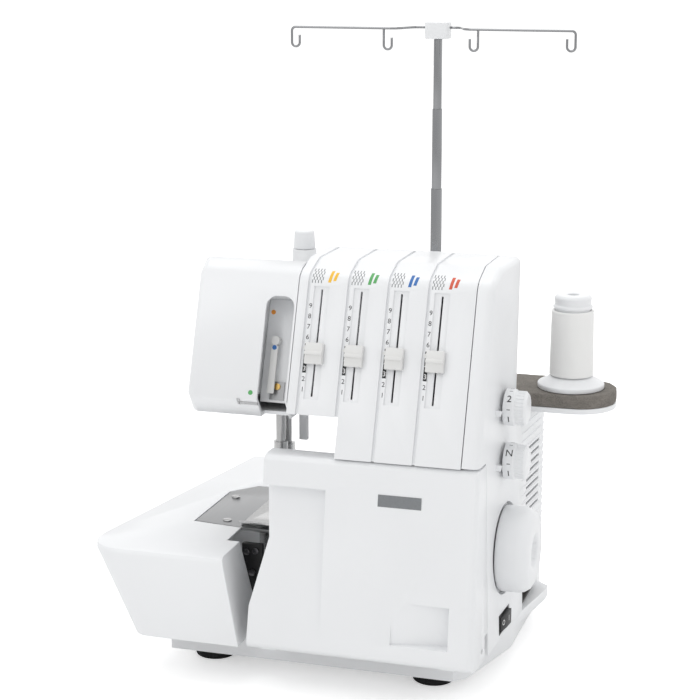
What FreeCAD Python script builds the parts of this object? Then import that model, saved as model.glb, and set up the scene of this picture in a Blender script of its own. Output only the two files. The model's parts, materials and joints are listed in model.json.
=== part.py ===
import FreeCAD, Part
import math
import os
import re
import Sketcher

# A four-thread overlock sewing machine. X runs to the machine's right, Y to its back, Z up.
# Sizes are in millimetres and degrees. The written parts have their origin on the table,
# under the middle of the whole machine.

SIZES = {
    # feet and base tray
    "foot_radius": 17.5, "foot_height": 13, "foot_taper": 2.5,
    "foot_left": -98, "foot_right": 70, "foot_front": -82, "foot_back": 82,
    "tray_left": -121, "tray_front": -114, "tray_nose": 92, "tray_right": 118, "tray_shoulder": -40,
    "tray_back": 108, "tray_corner": 8, "tray_height": 18, "tray_wall": 2.5, "tray_floor": 3,
    "ledge_reach": 10, "ledge_start": -36, "ledge_peak": 38, "ledge_end": 60, "ledge_thick": 8,
    "post_radius": 6, "post_left": -66, "post_right": 88, "post_front": -62, "post_back": 88,
    # shared walls and clearances
    "wall": 2.5, "seam_gap": 0.6, "cover_gap": 1.2, "slide_gap": 0.4, "run_fit": 0.05,
    # upper shell: leaning front, top and back
    "seam_y": -121.7, "seam_z": 171, "face_lean": 19.6, "face_top_z": 292, "top_z": 300,
    "top_front": -55, "shell_back": -10, "shell_round": 14,
    "head_left": -107.5, "crest_y": -67, "crest_z": 298.5, "head_back_z": 283, "head_shoulder": 290,
    "head_chin_z": 206, "head_low": 191, "chin_back": 10,
    "head_round": 5, "panel_left": -31, "arm_low": 198, "column_left": 7,
    # panel grooves, tension slots and sliders
    "groove_first": -23.5, "panel_pitch": 29.1, "groove_width": 2.2, "groove_depth": 1.4,
    "slot_offset": 9.4, "slot_low": 40, "slot_high": 120, "slot_width": 1.4, "trough_width": 11,
    "trough_depth": 1.2, "slider_rest": 72, "slider_width": 12.6, "slider_length": 15, "slider_proud": 5,
    "stem_width": 0.8, "stem_length": 8, "stem_depth": 9, "channel_wall": 1.5,
    # thread take-up window in the head
    "window_left": -54, "window_right": -33, "window_top": 276, "window_round": 8, "guide_depth": 19, "guide_thick": 1.5,
    "pan_margin": 4, "pan_wall": 1,
    # right cover with its slanted side
    "side_base": 107, "side_width": 10, "side_spread": 0.057, "side_flare": 0.0254, "side_front": -103,
    "side_waist": -24,
    "waist_low": 190, "waist_high": 205, "side_round": 5,
    # lower front: looper cover
    "cover_lean": 8.5, "cover_left_top": -44, "cover_left_mid": -40.5, "cover_left_low": -52, "cover_mid_z": 110,
    "cover_edge_z": 62, "cover_round": 5, "lip_depth": 8, "top_lip": 4, "wrap_cut": 7, "cover_top_gap": 1,
    "scoop_right": 2, "scoop_top": 149, "scoop_low": 42, "scoop_depth": 12,
    "finger_left": 53, "finger_right": 94, "finger_low": 46, "finger_high": 76, "finger_depth": 9,
    "hinge_y": -118, "hinge_rise": 8.4, "hinge_rod": 2, "knuckle_radius": 4, "knuckle_width": 10,
    "arm_width": 8, "arm_left": -30, "arm_inset": 27,
    # cloth plate
    "plate_top": 94, "plate_wall": 2.5, "plate_front_left": -181, "plate_left_back": -143,
    "plate_back": 116.5, "plate_tuck": 41, "plate_right": -83.4, "plate_flare": 10, "plate_low_right": -58,
    "plate_flare_start": -95, "plate_corner": 24, "plate_low_corner": 12, "plate_round": 5,
    "pivot_x": -84, "pivot_y": 110, "pivot_radius": 3, "pivot_boss": 6, "pivot_ring": 20,
    # needle plate and stitch area
    "needle_plate_thick": 3, "needle_plate_left": -122, "needle_plate_front": -64, "needle_plate_skew": 5,
    "needle_plate_back": 36, "needle_plate_right": -24, "plate_gap": 1.2,
    "needle_x": -62, "needle_y": -35, "needle_bar_radius": 3.5, "needle_bar_top": 278,
    "clamp_low": 136, "clamp_high": 155, "clamp_radius": 5.2, "needle_radius": 0.8, "needle_spread": 3,
    "needle_tip": 106, "needle_slot_x": 10, "needle_slot_y": 12,
    "presser_x": -61.5, "presser_y": -21.5, "presser_radius": 3.5, "foot_gap": 0.4, "foot_sole": 4,
    "foot_wide": 28, "foot_edge": -54, "toe_reach": 8, "toe_rise": 6, "sole_front": -66, "sole_back": -4,
    "shank_top": 150, "presser_top": 274, "presser_lift": 6,
    "dial_x": -46.7, "dial_y": -22, "dial_radius": 8, "dial_low": 300, "dial_high": 313.5, "dial_boss": 9,
    "lifter_x": -51, "lifter_y": -15, "lifter_low": 151, "lifter_width": 6.5, "lifter_thick": 4,
    "lifter_pin": 2.2, "lifter_pivot_x": -47, "lifter_pivot_z": 212, "lifter_lug": 5, "lifter_swing": 17,
    "knife_x": -45, "knife_thick": 2, "knife_wide": 10, "knife_y": -44, "knife_arm_low": 100, "knife_high": 116,
    "bracket_x": -76, "bracket_y": -84, "bracket_high": 89, "bracket_wide": 16,
    "bracket_thick": 4, "bolt_radius": 2.6, "bolt_head": 1.8,
    # frame casting
    "bed_left": -80, "bed_inset": 10, "bed_front": -80, "bed_back": 98, "bed_thick": 8,
    "block_front": 0, "block_back": 46, "block_right": -24, "web_thick": 12, "web_left": 14, "web_inset": 29,
    "web_front": -70, "web_back": -14, "arm_bottom": 232, "arm_height": 40, "arm_end": -86, "arm_front": -50,
    # drive train
    "wheel_y": -55, "wheel_z": 95, "wheel_radius": 31, "wheel_out": 30, "wheel_gap": 6.5,
    "wheel_dimple": 12.5, "dimple_depth": 6, "wheel_web": 3, "dish_gap": 2.5, "dish_out": 5,
    "shaft_radius": 7, "bush_wall": 4, "bar_bush": 2.5,
    "pulley_inset": 11, "pulley_width": 9, "pulley_radius": 26, "pulley_groove": 3, "motor_pulley_radius": 12,
    "belt_width": 5, "belt_thick": 3, "belt_gap": 0.3,
    "motor_y": 52, "motor_z": 72, "motor_radius": 26, "motor_left": 18, "motor_right": 72, "motor_shaft": 4,
    "mount_thick": 4, "rocker_radius": 4, "rocker_y": -64,
    # loopers and feed
    "looper_radius": 4, "looper_reach": 26, "looper_thick": 3, "looper_wide": 6,
    "upper_looper_x": -18, "upper_looper_z": 68, "upper_looper_y": -50,
    "lower_looper_x": -16, "lower_looper_z": 50, "lower_looper_y": -40,
    "feed_width": 5, "feed_left": -71.5, "feed_gap": 9.5, "feed_low": 76, "feed_bar": 8, "feed_front": -58,
    "feed_back": 20,
    # side controls
    "stitch_y": -58, "stitch_z": 200.5, "differ_y": -59, "differ_z": 161.5, "knob_radius": 13,
    "knob_length": 16.2, "knob_shaft": 4, "knob_gap": 1.6, "knob_inset": 14,
    "switch_y": -60, "switch_z": 42, "switch_long": 28, "switch_tall": 15, "switch_deep": 14, "rocker_tilt": 8,
    "rocker_pivot": 3, "rocker_pin": 1.5,
    # motor cover and power inlet
    "rear_left": 4, "rear_bulge": 5, "rear_bulge_y": 55, "rear_bevel_y": 92, "rear_out": 6, "rear_back": 108,
    "rear_top": 178, "rear_round": 8,
    "louvre_count": 9, "louvre_pitch": 6.1, "louvre_width": 2.2, "louvre_length": 34, "louvre_y": 18,
    "louvre_low": 98,
    "inlet_y": 21, "inlet_z": 42, "inlet_long": 46, "inlet_tall": 19, "inlet_deep": 12, "pin_radius": 1.6,
    "pin_spread": 12, "pin_drop": 3.5,
    "bed_cover_back": 96,
    # spool stand, spool and mast
    "stand_low": 183, "stand_thick": 4, "pad_thick": 10, "stand_y": 28, "stand_half": 29, "stand_right": 150,
    "stand_left": -70, "pin_pitch": 69.8, "pin_height": 52, "spool_pin": 3, "mast_x": 40.5, "mast_y": 27,
    "spool_base": 24.7, "spool_rim": 3.5, "spool_neck": 8.5, "spool_core": 13, "spool_height": 70,
    "spool_cap": 13.8, "spool_bore": 4.2, "wind_low": 9.5, "wind_high": 58.5, "wind_radius": 15.6,
    "wind_taper": 0.7, "thread_radius": 0.7, "wind_turns": 23,
    "mast_one": 4.2, "mast_two": 3.7, "mast_three": 3.15, "tube_wall": 0.45, "mast_step_one": 341,
    "mast_step_two": 400, "mast_top": 456, "overlap_one": 78, "overlap_two": 70,
    "head_block": 18, "head_deep": 12, "head_z": 451, "head_tall": 12,
    "wire_radius": 0.9, "wire_front": 5, "wire_z": 459, "wire_bend": 8, "hook_drop": 14, "hook_width": 3,
    "guide_reach": 105,
}

# Sizes that follow from others
DERIVED = {
    "shell_right": "=side_base - side_width", "bed_right": "=side_base - bed_inset",
    "web_right": "=side_base - web_inset", "pulley_x": "=side_base - pulley_inset",
    "wheel_face": "=side_base + wheel_out", "wheel_back": "=side_base + wheel_gap",
    "dish_floor": "=side_base + dish_out", "rocker_z": "=arm_bottom + 0.35 * arm_height",
    "rear_right": "=side_base + rear_out", "arm_right": "=side_base - arm_inset",
}

doc = FreeCAD.newDocument("overlock_machine")
sheet = doc.addObject("Spreadsheet::Sheet", "dims")
for row, (alias, number) in enumerate([*SIZES.items(), *DERIVED.items()], 1):
    sheet.set("A%d" % row, alias)
    sheet.set("B%d" % row, str(number))
    sheet.setAlias("B%d" % row, alias)
doc.recompute()

ROTATION = {
    "X": FreeCAD.Rotation(FreeCAD.Vector(0, 1, 0), 90),
    "Y": FreeCAD.Rotation(FreeCAD.Vector(1, 0, 0), -90),
    "Z": FreeCAD.Rotation(),
}
MATHS = {"sin", "cos", "tan", "sqrt", "min", "max"}
WORD = re.compile(r"[a-z][a-z_0-9]*")
NODES = []
vec = FreeCAD.Vector


def size(alias):
    """The number that a cell of the sheet holds."""
    return float(sheet.get(alias))


def linked(text):
    """An expression that names the sheet's cells by their bare names."""
    return WORD.sub(lambda m: m.group(0) if m.group(0) in MATHS else "dims." + m.group(0), str(text))


def bind(obj, **fields):
    for field, text in fields.items():
        obj.setExpression(field, linked(text))


def place(obj, x, y, z, turn=None):
    if turn is not None:
        obj.Placement = FreeCAD.Placement(vec(), turn)
    for axis, text in zip("xyz", (x, y, z)):
        obj.setExpression("Placement.Base." + axis, linked(text))
    return obj


def node(label, obj):
    """Marks an object as a finished sub-part, whose label names its file."""
    obj.Label = label
    NODES.append(obj)
    return obj


def box(name, x, y, z):
    """A block between a low and a high expression on each axis."""
    solid = doc.addObject("Part::Box", name)
    for field, (low, high) in zip(("Length", "Width", "Height"), (x, y, z)):
        solid.setExpression(field, linked("(%s) - (%s)" % (high, low)))
    return place(solid, x[0], y[0], z[0])


def rod(name, axis, start, length, radius):
    solid = doc.addObject("Part::Cylinder", name)
    bind(solid, Radius=radius, Height=length)
    return place(solid, *start, turn=ROTATION[axis])


def join(name, *parts):
    whole = doc.addObject("Part::MultiFuse", name)
    whole.Shapes = list(parts)
    whole.Refine = True
    return whole


def cut(name, base, *tools):
    result = doc.addObject("Part::Cut", name)
    result.Base = base
    result.Tool = tools[0] if len(tools) == 1 else join(name + "_tools", *tools)
    return result


def ring(name, axis, start, length, outer, inner):
    return cut(name, rod(name + "_outer", axis, start, length, outer),
               rod(name + "_bore", axis, start, length, inner))


def group(name, parts):
    """Separate like solids kept together as one sub-part."""
    whole = doc.addObject("Part::Compound", name)
    whole.Links = list(parts)
    return whole


def outline(body, name, plane, points, offset):
    """A closed straight-sided sketch whose corners are bound to expressions."""
    sketch = body.newObject("Sketcher::SketchObject", name)
    support = [f for f in body.Origin.OriginFeatures if f.Role == plane + "_Plane"][0]
    sketch.AttachmentSupport = [(support, "")]
    sketch.MapMode = "FlatFace"
    sketch.setExpression("AttachmentOffset.Base.z", linked(offset))
    count = len(points)
    for i in range(count):
        turn = 2 * math.pi * i / count
        after = 2 * math.pi * (i + 1) / count
        sketch.addGeometry(Part.LineSegment(vec(math.cos(turn), math.sin(turn), 0),
                                            vec(math.cos(after), math.sin(after), 0)))
    for i in range(count):
        sketch.addConstraint(Sketcher.Constraint("Coincident", i, 2, (i + 1) % count, 1))
    for i, corner in enumerate(points):
        for kind, text in zip(("DistanceX", "DistanceY"), corner):
            index = sketch.addConstraint(Sketcher.Constraint(kind, i, 1, 1.0))
            sketch.setExpression("Constraints[%d]" % index, linked(text))
    return sketch


def prism(name, plane, points, low, high):
    """A straight-sided block: an outline padded between two levels along the plane's own axis."""
    body = doc.addObject("PartDesign::Body", name)
    offset = "-(%s)" % low if plane == "XZ" else low
    sketch = outline(body, name + "_outline", plane, points, offset)
    pad = body.newObject("PartDesign::Pad", name + "_pad")
    pad.Profile = sketch
    pad.Reversed = plane == "XZ"
    bind(pad, Length="(%s) - (%s)" % (high, low))
    return body


def loft(name, sections):
    """A block that changes evenly from one outline to the next above it."""
    body = doc.addObject("PartDesign::Body", name)
    sketches = [outline(body, "%s_level_%d" % (name, i), "XY", points, level)
                for i, (points, level) in enumerate(sections)]
    skin = body.newObject("PartDesign::AdditiveLoft", name + "_loft")
    skin.Profile = sketches[0]
    skin.Sections = sketches[1:]
    skin.Ruled = True
    return body


def lathe(name, axis, start, points):
    """A turned piece: an outline of radius and length, swung round its axis."""
    body = doc.addObject("PartDesign::Body", name)
    sketch = outline(body, name + "_outline", "XZ", points, "0")
    turned = body.newObject("PartDesign::Revolution", name + "_turn")
    turned.Profile = sketch
    turned.ReferenceAxis = (sketch, ["V_Axis"])
    turned.Angle = 360
    return place(body, *start, turn=ROTATION[axis])


def soften(name, base, *rules):
    """Rounds edges: each rule gives a radius and a test that picks its edges out."""
    doc.recompute()
    rounded = doc.addObject("Part::Fillet", name)
    rounded.Base = base
    rounded.Edges = [(i, size(radius), size(radius)) for radius, wanted in rules
                     for i, edge in enumerate(base.Shape.Edges, 1) if wanted(edge)]
    return rounded


def runs_along(edge, axis):
    """Whether a straight edge is parallel to an axis."""
    if len(edge.Vertexes) != 2:
        return False
    step = edge.Vertexes[1].Point.sub(edge.Vertexes[0].Point)
    return step.Length > 0 and abs(abs(step.dot(axis)) - step.Length) < 1e-6


def face_y(z):
    """The depth of the upper front face at a height."""
    return "(seam_y + (%s - seam_z) * tan(face_lean))" % z


def cover_y(z):
    """The depth of the lower front face at a height."""
    return "(seam_y + (%s - seam_z) * tan(cover_lean))" % z


def face_block(name, x, up, sunk):
    """A block square to the leaning face: spans across, up the face and into it."""
    solid = doc.addObject("Part::Box", name)
    for field, (low, high) in zip(("Length", "Width", "Height"), (x, sunk, up)):
        solid.setExpression(field, linked("(%s) - (%s)" % (high, low)))
    turn = FreeCAD.Rotation(vec(1, 0, 0), -size("face_lean"))
    return place(solid, x[0],
                 "seam_y + (%s) * sin(face_lean) + (%s) * cos(face_lean)" % (up[0], sunk[0]),
                 "seam_z + (%s) * cos(face_lean) - (%s) * sin(face_lean)" % (up[0], sunk[0]), turn)


DECK = "(foot_height + tray_height)"
SHAFT_START = "(column_left + wall + cover_gap)"
CORNER_STEPS = 6


def side_beyond(name, inset):
    """The space outside the slanted right side, moved inwards by an amount."""
    reach = 800
    slope = vec(1, -size("side_spread"), size("side_flare"))
    turn = FreeCAD.Rotation(vec(1, 0, 0), slope)
    start = vec(size("side_base") - inset, size("tray_front"), size("top_z"))
    solid = doc.addObject("Part::Box", name)
    solid.Length = solid.Width = solid.Height = reach
    solid.Placement = FreeCAD.Placement(start.add(turn.multVec(vec(0, -reach / 2, -reach / 2))), turn)
    return solid


def side_x(y, z):
    return "(side_base + side_spread * (%s - tray_front) + side_flare * (top_z - %s))" % (y, z)


def make_base():
    """The tray, its ledge under the inlet, its posts and the rubber feet."""
    def rim(inset):
        return [("tray_left + %s" % inset, "tray_front + %s" % inset),
                ("tray_nose - 0.5 * %s" % inset, "tray_front + %s" % inset),
                ("tray_nose + tray_corner - %s" % inset, "tray_front + tray_corner + 0.5 * %s" % inset),
                ("tray_right - %s" % inset, "tray_shoulder"),
                ("tray_right - %s" % inset, "rear_bulge_y"), ("rear_right - %s" % inset, "rear_bevel_y"),
                ("rear_right - 2 * rear_round - 0.5 * %s" % inset, "tray_back - %s" % inset),
                ("tray_left + %s" % inset, "tray_back - %s" % inset)]
    shell = prism("tray_shell", "XY", rim("0"), "foot_height", DECK)
    hollow = prism("tray_hollow", "XY", rim("tray_wall"), "foot_height + tray_floor", DECK + " + 1")
    ledge = prism("tray_ledge", "XY",
                  [("tray_right - tray_wall", "ledge_start"), ("tray_right + ledge_reach", "ledge_peak"),
                   ("tray_right + ledge_reach", "ledge_peak + ledge_reach"),
                   ("tray_right - tray_wall", "ledge_end")], DECK + " - ledge_thick", DECK)
    posts = [rod("tray_post_%s_%s" % (x, y), "Z", ("post_" + x, "post_" + y, "foot_height + tray_floor"),
                 "tray_height - tray_floor", "post_radius")
             for x in ("left", "right") for y in ("front", "back")]
    node("base_tray", join("base_tray", cut("tray_open", shell, hollow), ledge, *posts))
    feet = []
    for x in ("left", "right"):
        for y in ("front", "back"):
            foot = doc.addObject("Part::Cone", "foot_%s_%s" % (x, y))
            bind(foot, Radius1="foot_radius - foot_taper", Radius2="foot_radius", Height="foot_height")
            feet.append(place(foot, "foot_" + x, "foot_" + y, "0"))
    node("rubber_feet", group("rubber_feet", feet))


def make_frame():
    """The casting: bed, feed block, two webs and the arm, with its bores."""
    bed_top = DECK + " + bed_thick"
    bed = box("bed", ("bed_left", "bed_right"), ("bed_front", "bed_back"), (DECK, bed_top))
    block_top = "plate_top - needle_plate_thick"
    block = box("feed_block", ("bed_left", "block_right"), ("block_front", "block_back"), (bed_top, block_top))
    webs = [box("web_" + side, ("web_" + side, "web_%s + web_thick" % side), ("web_front", "web_back"),
                (bed_top, "arm_bottom")) for side in ("left", "right")]
    arm = box("arm", ("arm_end", "web_right + web_thick"), ("arm_front", "web_back"),
              ("arm_bottom", "arm_bottom + arm_height"))
    lugs = [box("rocker_lug_%d" % i, (x, x + " + web_thick"), ("rocker_y - 2 * rocker_radius", "arm_front"),
                ("rocker_z - 2.5 * rocker_radius", "rocker_z + 2.5 * rocker_radius"))
            for i, x in enumerate(("panel_left", "web_left"))]
    tension_at = bracket_depth()
    lugs += [face_block("bracket_lug_" + side, ("web_" + side, "web_%s + web_thick" % side),
                        ("slot_low + 15", "slot_low + 25"), (tension_at + " + 2", tension_at + " + 16"))
             for side in ("left", "right")]
    lugs.append(box("lifter_lug", ("lifter_pivot_x - lifter_lug", "lifter_pivot_x + lifter_lug"),
                    ("lifter_y - 8", "lifter_y - 2"), ("lifter_pivot_z - lifter_lug", "arm_bottom")))
    pivot = rod("pivot_lug", "Z", ("pivot_x", "pivot_y", DECK), "bed_thick", "pivot_boss")
    strap = box("pivot_strap", ("pivot_x", "pivot_x + 2 * pivot_boss"),
                ("bed_back - pivot_boss", "pivot_y"), (DECK, bed_top))
    bores = [rod("shaft_bore", "X", (SHAFT_START, "wheel_y", "wheel_z"), "pulley_x - " + SHAFT_START,
                 "shaft_radius + bush_wall + run_fit"),
             rod("needle_bore", "Z", ("needle_x", "needle_y", "arm_bottom - 1"), "arm_height + 2",
                 "needle_bar_radius + bar_bush + run_fit"),
             rod("presser_bore", "Z", ("presser_x", "presser_y", "arm_bottom - 1"), "arm_height + 2",
                 "presser_radius + bar_bush + run_fit"),
             rod("rocker_bore", "X", ("needle_x", "rocker_y", "rocker_z"), "web_left - needle_x + 2 * web_thick",
                 "rocker_radius + run_fit"),
             rod("lifter_bore", "Y", ("lifter_pivot_x", "lifter_y - 9", "lifter_pivot_z"), "8",
                 "lifter_pin + run_fit"),
             box("feed_channel", ("feed_left - slide_gap", "feed_left + 2 * feed_width + feed_gap + slide_gap"),
                 ("block_front - 1", "block_back + 1"),
                 ("feed_low - slide_gap", "feed_low + feed_bar + slide_gap"))]
    pin = rod("plate_pivot_pin", "Z", ("pivot_x", "pivot_y", DECK),
              "plate_top - plate_wall - slide_gap - " + DECK, "pivot_radius")
    stand = [box("looper_plate", ("lower_looper_x - 12", "upper_looper_x + 14"),
                 ("block_front - 8", "block_front - 2"), (bed_top, "upper_looper_z + 10"))]
    stand += [rod(n + "_pin", "Y", (n + "_x", n + "_y - 2", n + "_z"), "block_front - 6 - %s_y" % n, "looper_radius")
              for n in ("upper_looper", "lower_looper")]
    solid = join("frame_solid", bed, block, arm, pivot, strap, pin, *webs, *lugs, *stand)
    node("machine_frame", cut("machine_frame", solid, *bores))


def make_bushes():
    """Bronze bushes for the main shaft, the needle bar and the presser bar."""
    rings = [ring("main_bush_" + side, "X", ("web_" + side, "wheel_y", "wheel_z"), "web_thick",
                  "shaft_radius + bush_wall", "shaft_radius + run_fit") for side in ("left", "right")]
    for bar in ("needle", "presser"):
        radius = "needle_bar_radius" if bar == "needle" else "presser_radius"
        for i, z in enumerate(("arm_bottom", "arm_bottom + arm_height - web_thick")):
            rings.append(ring("%s_bush_%d" % (bar, i), "Z", (bar + "_x", bar + "_y", z), "web_thick",
                              radius + " + bar_bush", radius + " + run_fit"))
    node("shaft_bushes", group("shaft_bushes", rings))


def make_drive():
    """Handwheel, main shaft, pulleys, belt and motor."""
    wheel_floor = "(wheel_face - dimple_depth - wheel_web)"
    node("main_shaft", rod("main_shaft", "X", (SHAFT_START, "wheel_y", "wheel_z"),
                           "%s - slide_gap - %s" % (wheel_floor, SHAFT_START), "shaft_radius"))
    bore = "shaft_radius + run_fit"
    length = "(wheel_face - wheel_back)"
    web_back = "%s - wheel_back" % wheel_floor
    wheel = lathe("wheel_turned", "X", ("wheel_back", "wheel_y", "wheel_z"), [
        (bore, "0"), ("wheel_radius", "0"), ("wheel_radius", "0.62 * " + length),
        ("wheel_radius - 1", "0.78 * " + length), ("wheel_radius - 3.2", "0.92 * " + length),
        ("wheel_radius - 6.5", length), ("wheel_dimple", length),
        ("0.72 * wheel_dimple", length + " - dimple_depth"), ("0", length + " - dimple_depth"),
        ("0", web_back), (bore, web_back)])
    node("handwheel", wheel)
    def grooved(radius, inner):
        return [(inner, "0"), (radius, "0"), (radius, "1"),
                (radius + " - pulley_groove", "0.5 * (pulley_width - belt_width)"),
                (radius + " - pulley_groove", "0.5 * (pulley_width + belt_width)"),
                (radius, "pulley_width - 1"), (radius, "pulley_width"), (inner, "pulley_width")]
    node("driven_pulley", lathe("driven_pulley", "X", ("pulley_x", "wheel_y", "wheel_z"),
                                grooved("pulley_radius", bore)))
    spindle = rod("motor_spindle", "X", ("motor_right + slide_gap", "motor_y", "motor_z"),
                  "pulley_x + pulley_width - motor_right", "motor_shaft")
    sheave = lathe("motor_sheave", "X", ("pulley_x", "motor_y", "motor_z"), grooved("motor_pulley_radius", "0"))
    node("motor_pulley", join("motor_pulley", spindle, sheave))
    can = rod("motor_can", "X", ("motor_left", "motor_y", "motor_z"), "motor_right - motor_left", "motor_radius")
    plate = box("mount_plate", ("motor_right - mount_thick", "motor_right"),
                ("motor_y - motor_radius", "motor_y + motor_radius"),
                (DECK + " + bed_thick", "motor_z + motor_radius"))
    node("motor", join("motor", can, plate))
    node("drive_belt", make_belt())


def make_belt():
    """A flat loop round both pulleys: two tangent runs and two arcs."""
    centre_a = vec(0, size("wheel_y"), size("wheel_z"))
    centre_b = vec(0, size("motor_y"), size("motor_z"))
    floor = size("pulley_groove") - size("belt_gap")

    def loop(extra):
        big = size("pulley_radius") - floor + extra
        small = size("motor_pulley_radius") - floor + extra
        span = centre_b.sub(centre_a)
        along = vec(span).normalize()
        across = vec(1, 0, 0).cross(along)
        tilt = math.asin((big - small) / span.Length)

        def touch(centre, radius, side):
            out = along * math.sin(tilt) + across * (side * math.cos(tilt))
            return centre.add(out * radius)
        up_a, down_a = touch(centre_a, big, 1), touch(centre_a, big, -1)
        up_b, down_b = touch(centre_b, small, 1), touch(centre_b, small, -1)
        edges = [Part.LineSegment(up_a, up_b).toShape(),
                 Part.Arc(up_b, centre_b.add(along * small), down_b).toShape(),
                 Part.LineSegment(down_b, down_a).toShape(),
                 Part.Arc(down_a, centre_a.sub(along * big), up_a).toShape()]
        return Part.Face(Part.Wire(edges))
    belt = doc.addObject("Part::Feature", "drive_belt")
    band = loop(size("belt_thick")).cut(loop(0))
    belt.Shape = band.extrude(vec(size("belt_width"), 0, 0))
    belt.Placement = FreeCAD.Placement(
        vec(size("pulley_x") + (size("pulley_width") - size("belt_width")) / 2, 0, 0), FreeCAD.Rotation())
    return belt


def upper_profile(low, inset, back):
    """The upper shell seen from its side, moved inwards by an amount."""
    step = "(%s) / cos(face_lean)" % inset
    foot = "(%s)" % low
    return [(face_y(foot) + " + " + step, foot),
            (face_y("face_top_z") + " + " + step, "face_top_z - (%s)" % inset),
            ("top_front + (%s)" % inset, "top_z - (%s)" % inset),
            (back, "top_z - (%s)" % inset), (back, foot)]


def crown_edge(edge):
    """Whether an edge lies along the turn from the leaning face to the top."""
    middle = edge.CenterOfMass
    reach = size("groove_depth") + 1
    return (runs_along(edge, vec(1, 0, 0)) and middle.z > size("face_top_z") - reach
            and middle.y < size("top_front") + reach)


def make_upper_shell():
    """The tension housing: four leaning panels over the column and the arm."""
    column = prism("column_shell", "YZ", upper_profile("seam_z", "0", "shell_back"), "column_left", "shell_right")
    arm = prism("panel_shell", "YZ", upper_profile("arm_low", "0", "shell_back"), "panel_left", "column_left")
    solid = soften("housing_rounded", join("housing_solid", column, arm), ("shell_round", crown_edge))
    inner = [prism("column_hollow", "YZ", upper_profile("seam_z - 1", "wall", "shell_back + 1"),
                   "column_left + wall", "shell_right + 1"),
             prism("panel_hollow", "YZ", upper_profile("arm_low + wall", "wall", "shell_back + 1"),
                   "panel_left + wall", "column_left + wall + 1"),
             box("arm_way", ("panel_left - 1", "panel_left + wall + 1"),
                 ("rocker_y - 3 * rocker_radius", "shell_back + 1"),
                 ("arm_bottom - 2 * wall", "arm_bottom + arm_height + 2 * wall"))]
    cuts = []
    channels = []
    core = soften("groove_core", prism("groove_floor", "YZ", upper_profile(
        "seam_z - 2", "groove_depth", "shell_back + 2"), "panel_left - 1", "shell_right + 1"),
        ("shell_round", crown_edge))
    for i in range(4):
        left = "groove_first + %d * panel_pitch" % i
        band = prism("groove_band_%d" % i, "YZ", upper_profile("seam_z - 1", "-1", "shell_back + 1"),
                     left + " - 0.5 * groove_width", left + " + 0.5 * groove_width")
        cuts.append(cut("groove_%d" % i, band, core))
        middle = left + " + slot_offset"
        cuts.append(face_block("trough_%d" % i,
                               (middle + " - 0.5 * trough_width", middle + " + 0.5 * trough_width"),
                               ("slot_low", "slot_high"), ("-1", "trough_depth")))
        cuts.append(face_block("slot_%d" % i, (middle + " - 0.5 * slot_width", middle + " + 0.5 * slot_width"),
                               ("slot_low + 2", "slot_high - 2"), ("-1", "stem_depth + 1")))
        reach = "0.5 * slot_width + channel_wall"
        channels.append(face_block("channel_%d" % i, (middle + " - " + reach, middle + " + " + reach),
                                   ("slot_low + 0.5", "slot_high - 0.5"),
                                   ("0.5 * wall", "stem_depth + 1 + channel_wall")))
        make_slider(i, middle)
    shell = join("housing_shell", cut("housing_open", solid, *inner), *channels)
    node("tension_housing", cut("tension_housing", shell, *cuts))


def make_slider(i, middle):
    """A tension slider: a finger piece on the face and a stem in the slot."""
    low = "slider_rest - 0.5 * slider_length"
    high = "slider_rest + 0.5 * slider_length"
    cap = face_block("slider_cap_%d" % i, (middle + " - 0.5 * slider_width", middle + " + 0.5 * slider_width"),
                     (low, high), ("-slider_proud", "-slide_gap"))
    ridge = face_block("slider_ridge_%d" % i,
                       (middle + " - 0.5 * slider_width", middle + " + 0.5 * slider_width"),
                       ("slider_rest - 1.2", "slider_rest + 1.2"), ("-slider_proud - 1.5", "-slider_proud"))
    stem = face_block("slider_stem_%d" % i, (middle + " - 0.5 * stem_width", middle + " + 0.5 * stem_width"),
                      ("slider_rest - 0.5 * stem_length", "slider_rest + 0.5 * stem_length"),
                      ("-slide_gap", "stem_depth"))
    node("tension_slider_%d" % (i + 1), join("tension_slider_%d" % (i + 1), cap, ridge, stem))


def bracket_depth():
    """How far behind the face the tension bracket stands."""
    return "(stem_depth + 14)"


def make_tension_units():
    """Posts and discs that grip the threads behind the panels, on one bracket."""
    bracket_at = bracket_depth()
    last = "web_right + web_thick"
    bracket = face_block("tension_plate", ("panel_left + 2 * wall", last),
                         ("slot_low + 10", "slot_low + 30"), (bracket_at, bracket_at + " + 2"))
    posts = []
    discs = []
    lean = FreeCAD.Rotation(vec(1, 0, 0), 90 - size("face_lean"))
    for i in range(4):
        x = "groove_first + %d * panel_pitch + 0.25 * panel_pitch" % i
        for name, depth, length, radius, store in (("post", bracket_at, "12", "2", posts),
                                                   ("disc_a", bracket_at + " - 5", "1.4", "8", discs),
                                                   ("disc_b", bracket_at + " - 7", "1.4", "8", discs)):
            piece = doc.addObject("Part::Cylinder", "tension_%s_%d" % (name, i))
            bind(piece, Radius=radius, Height=length)
            place(piece, x, "seam_y + (slot_low + 20) * sin(face_lean) + (%s) * cos(face_lean)" % depth,
                  "seam_z + (slot_low + 20) * cos(face_lean) - (%s) * sin(face_lean)" % depth, lean)
            store.append(piece)
    discs = [cut("tension_disc_%d" % i, disc, posts[i // 2]) for i, disc in enumerate(discs)]
    node("tension_units", group("tension_units", [bracket] + posts + discs))


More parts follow.
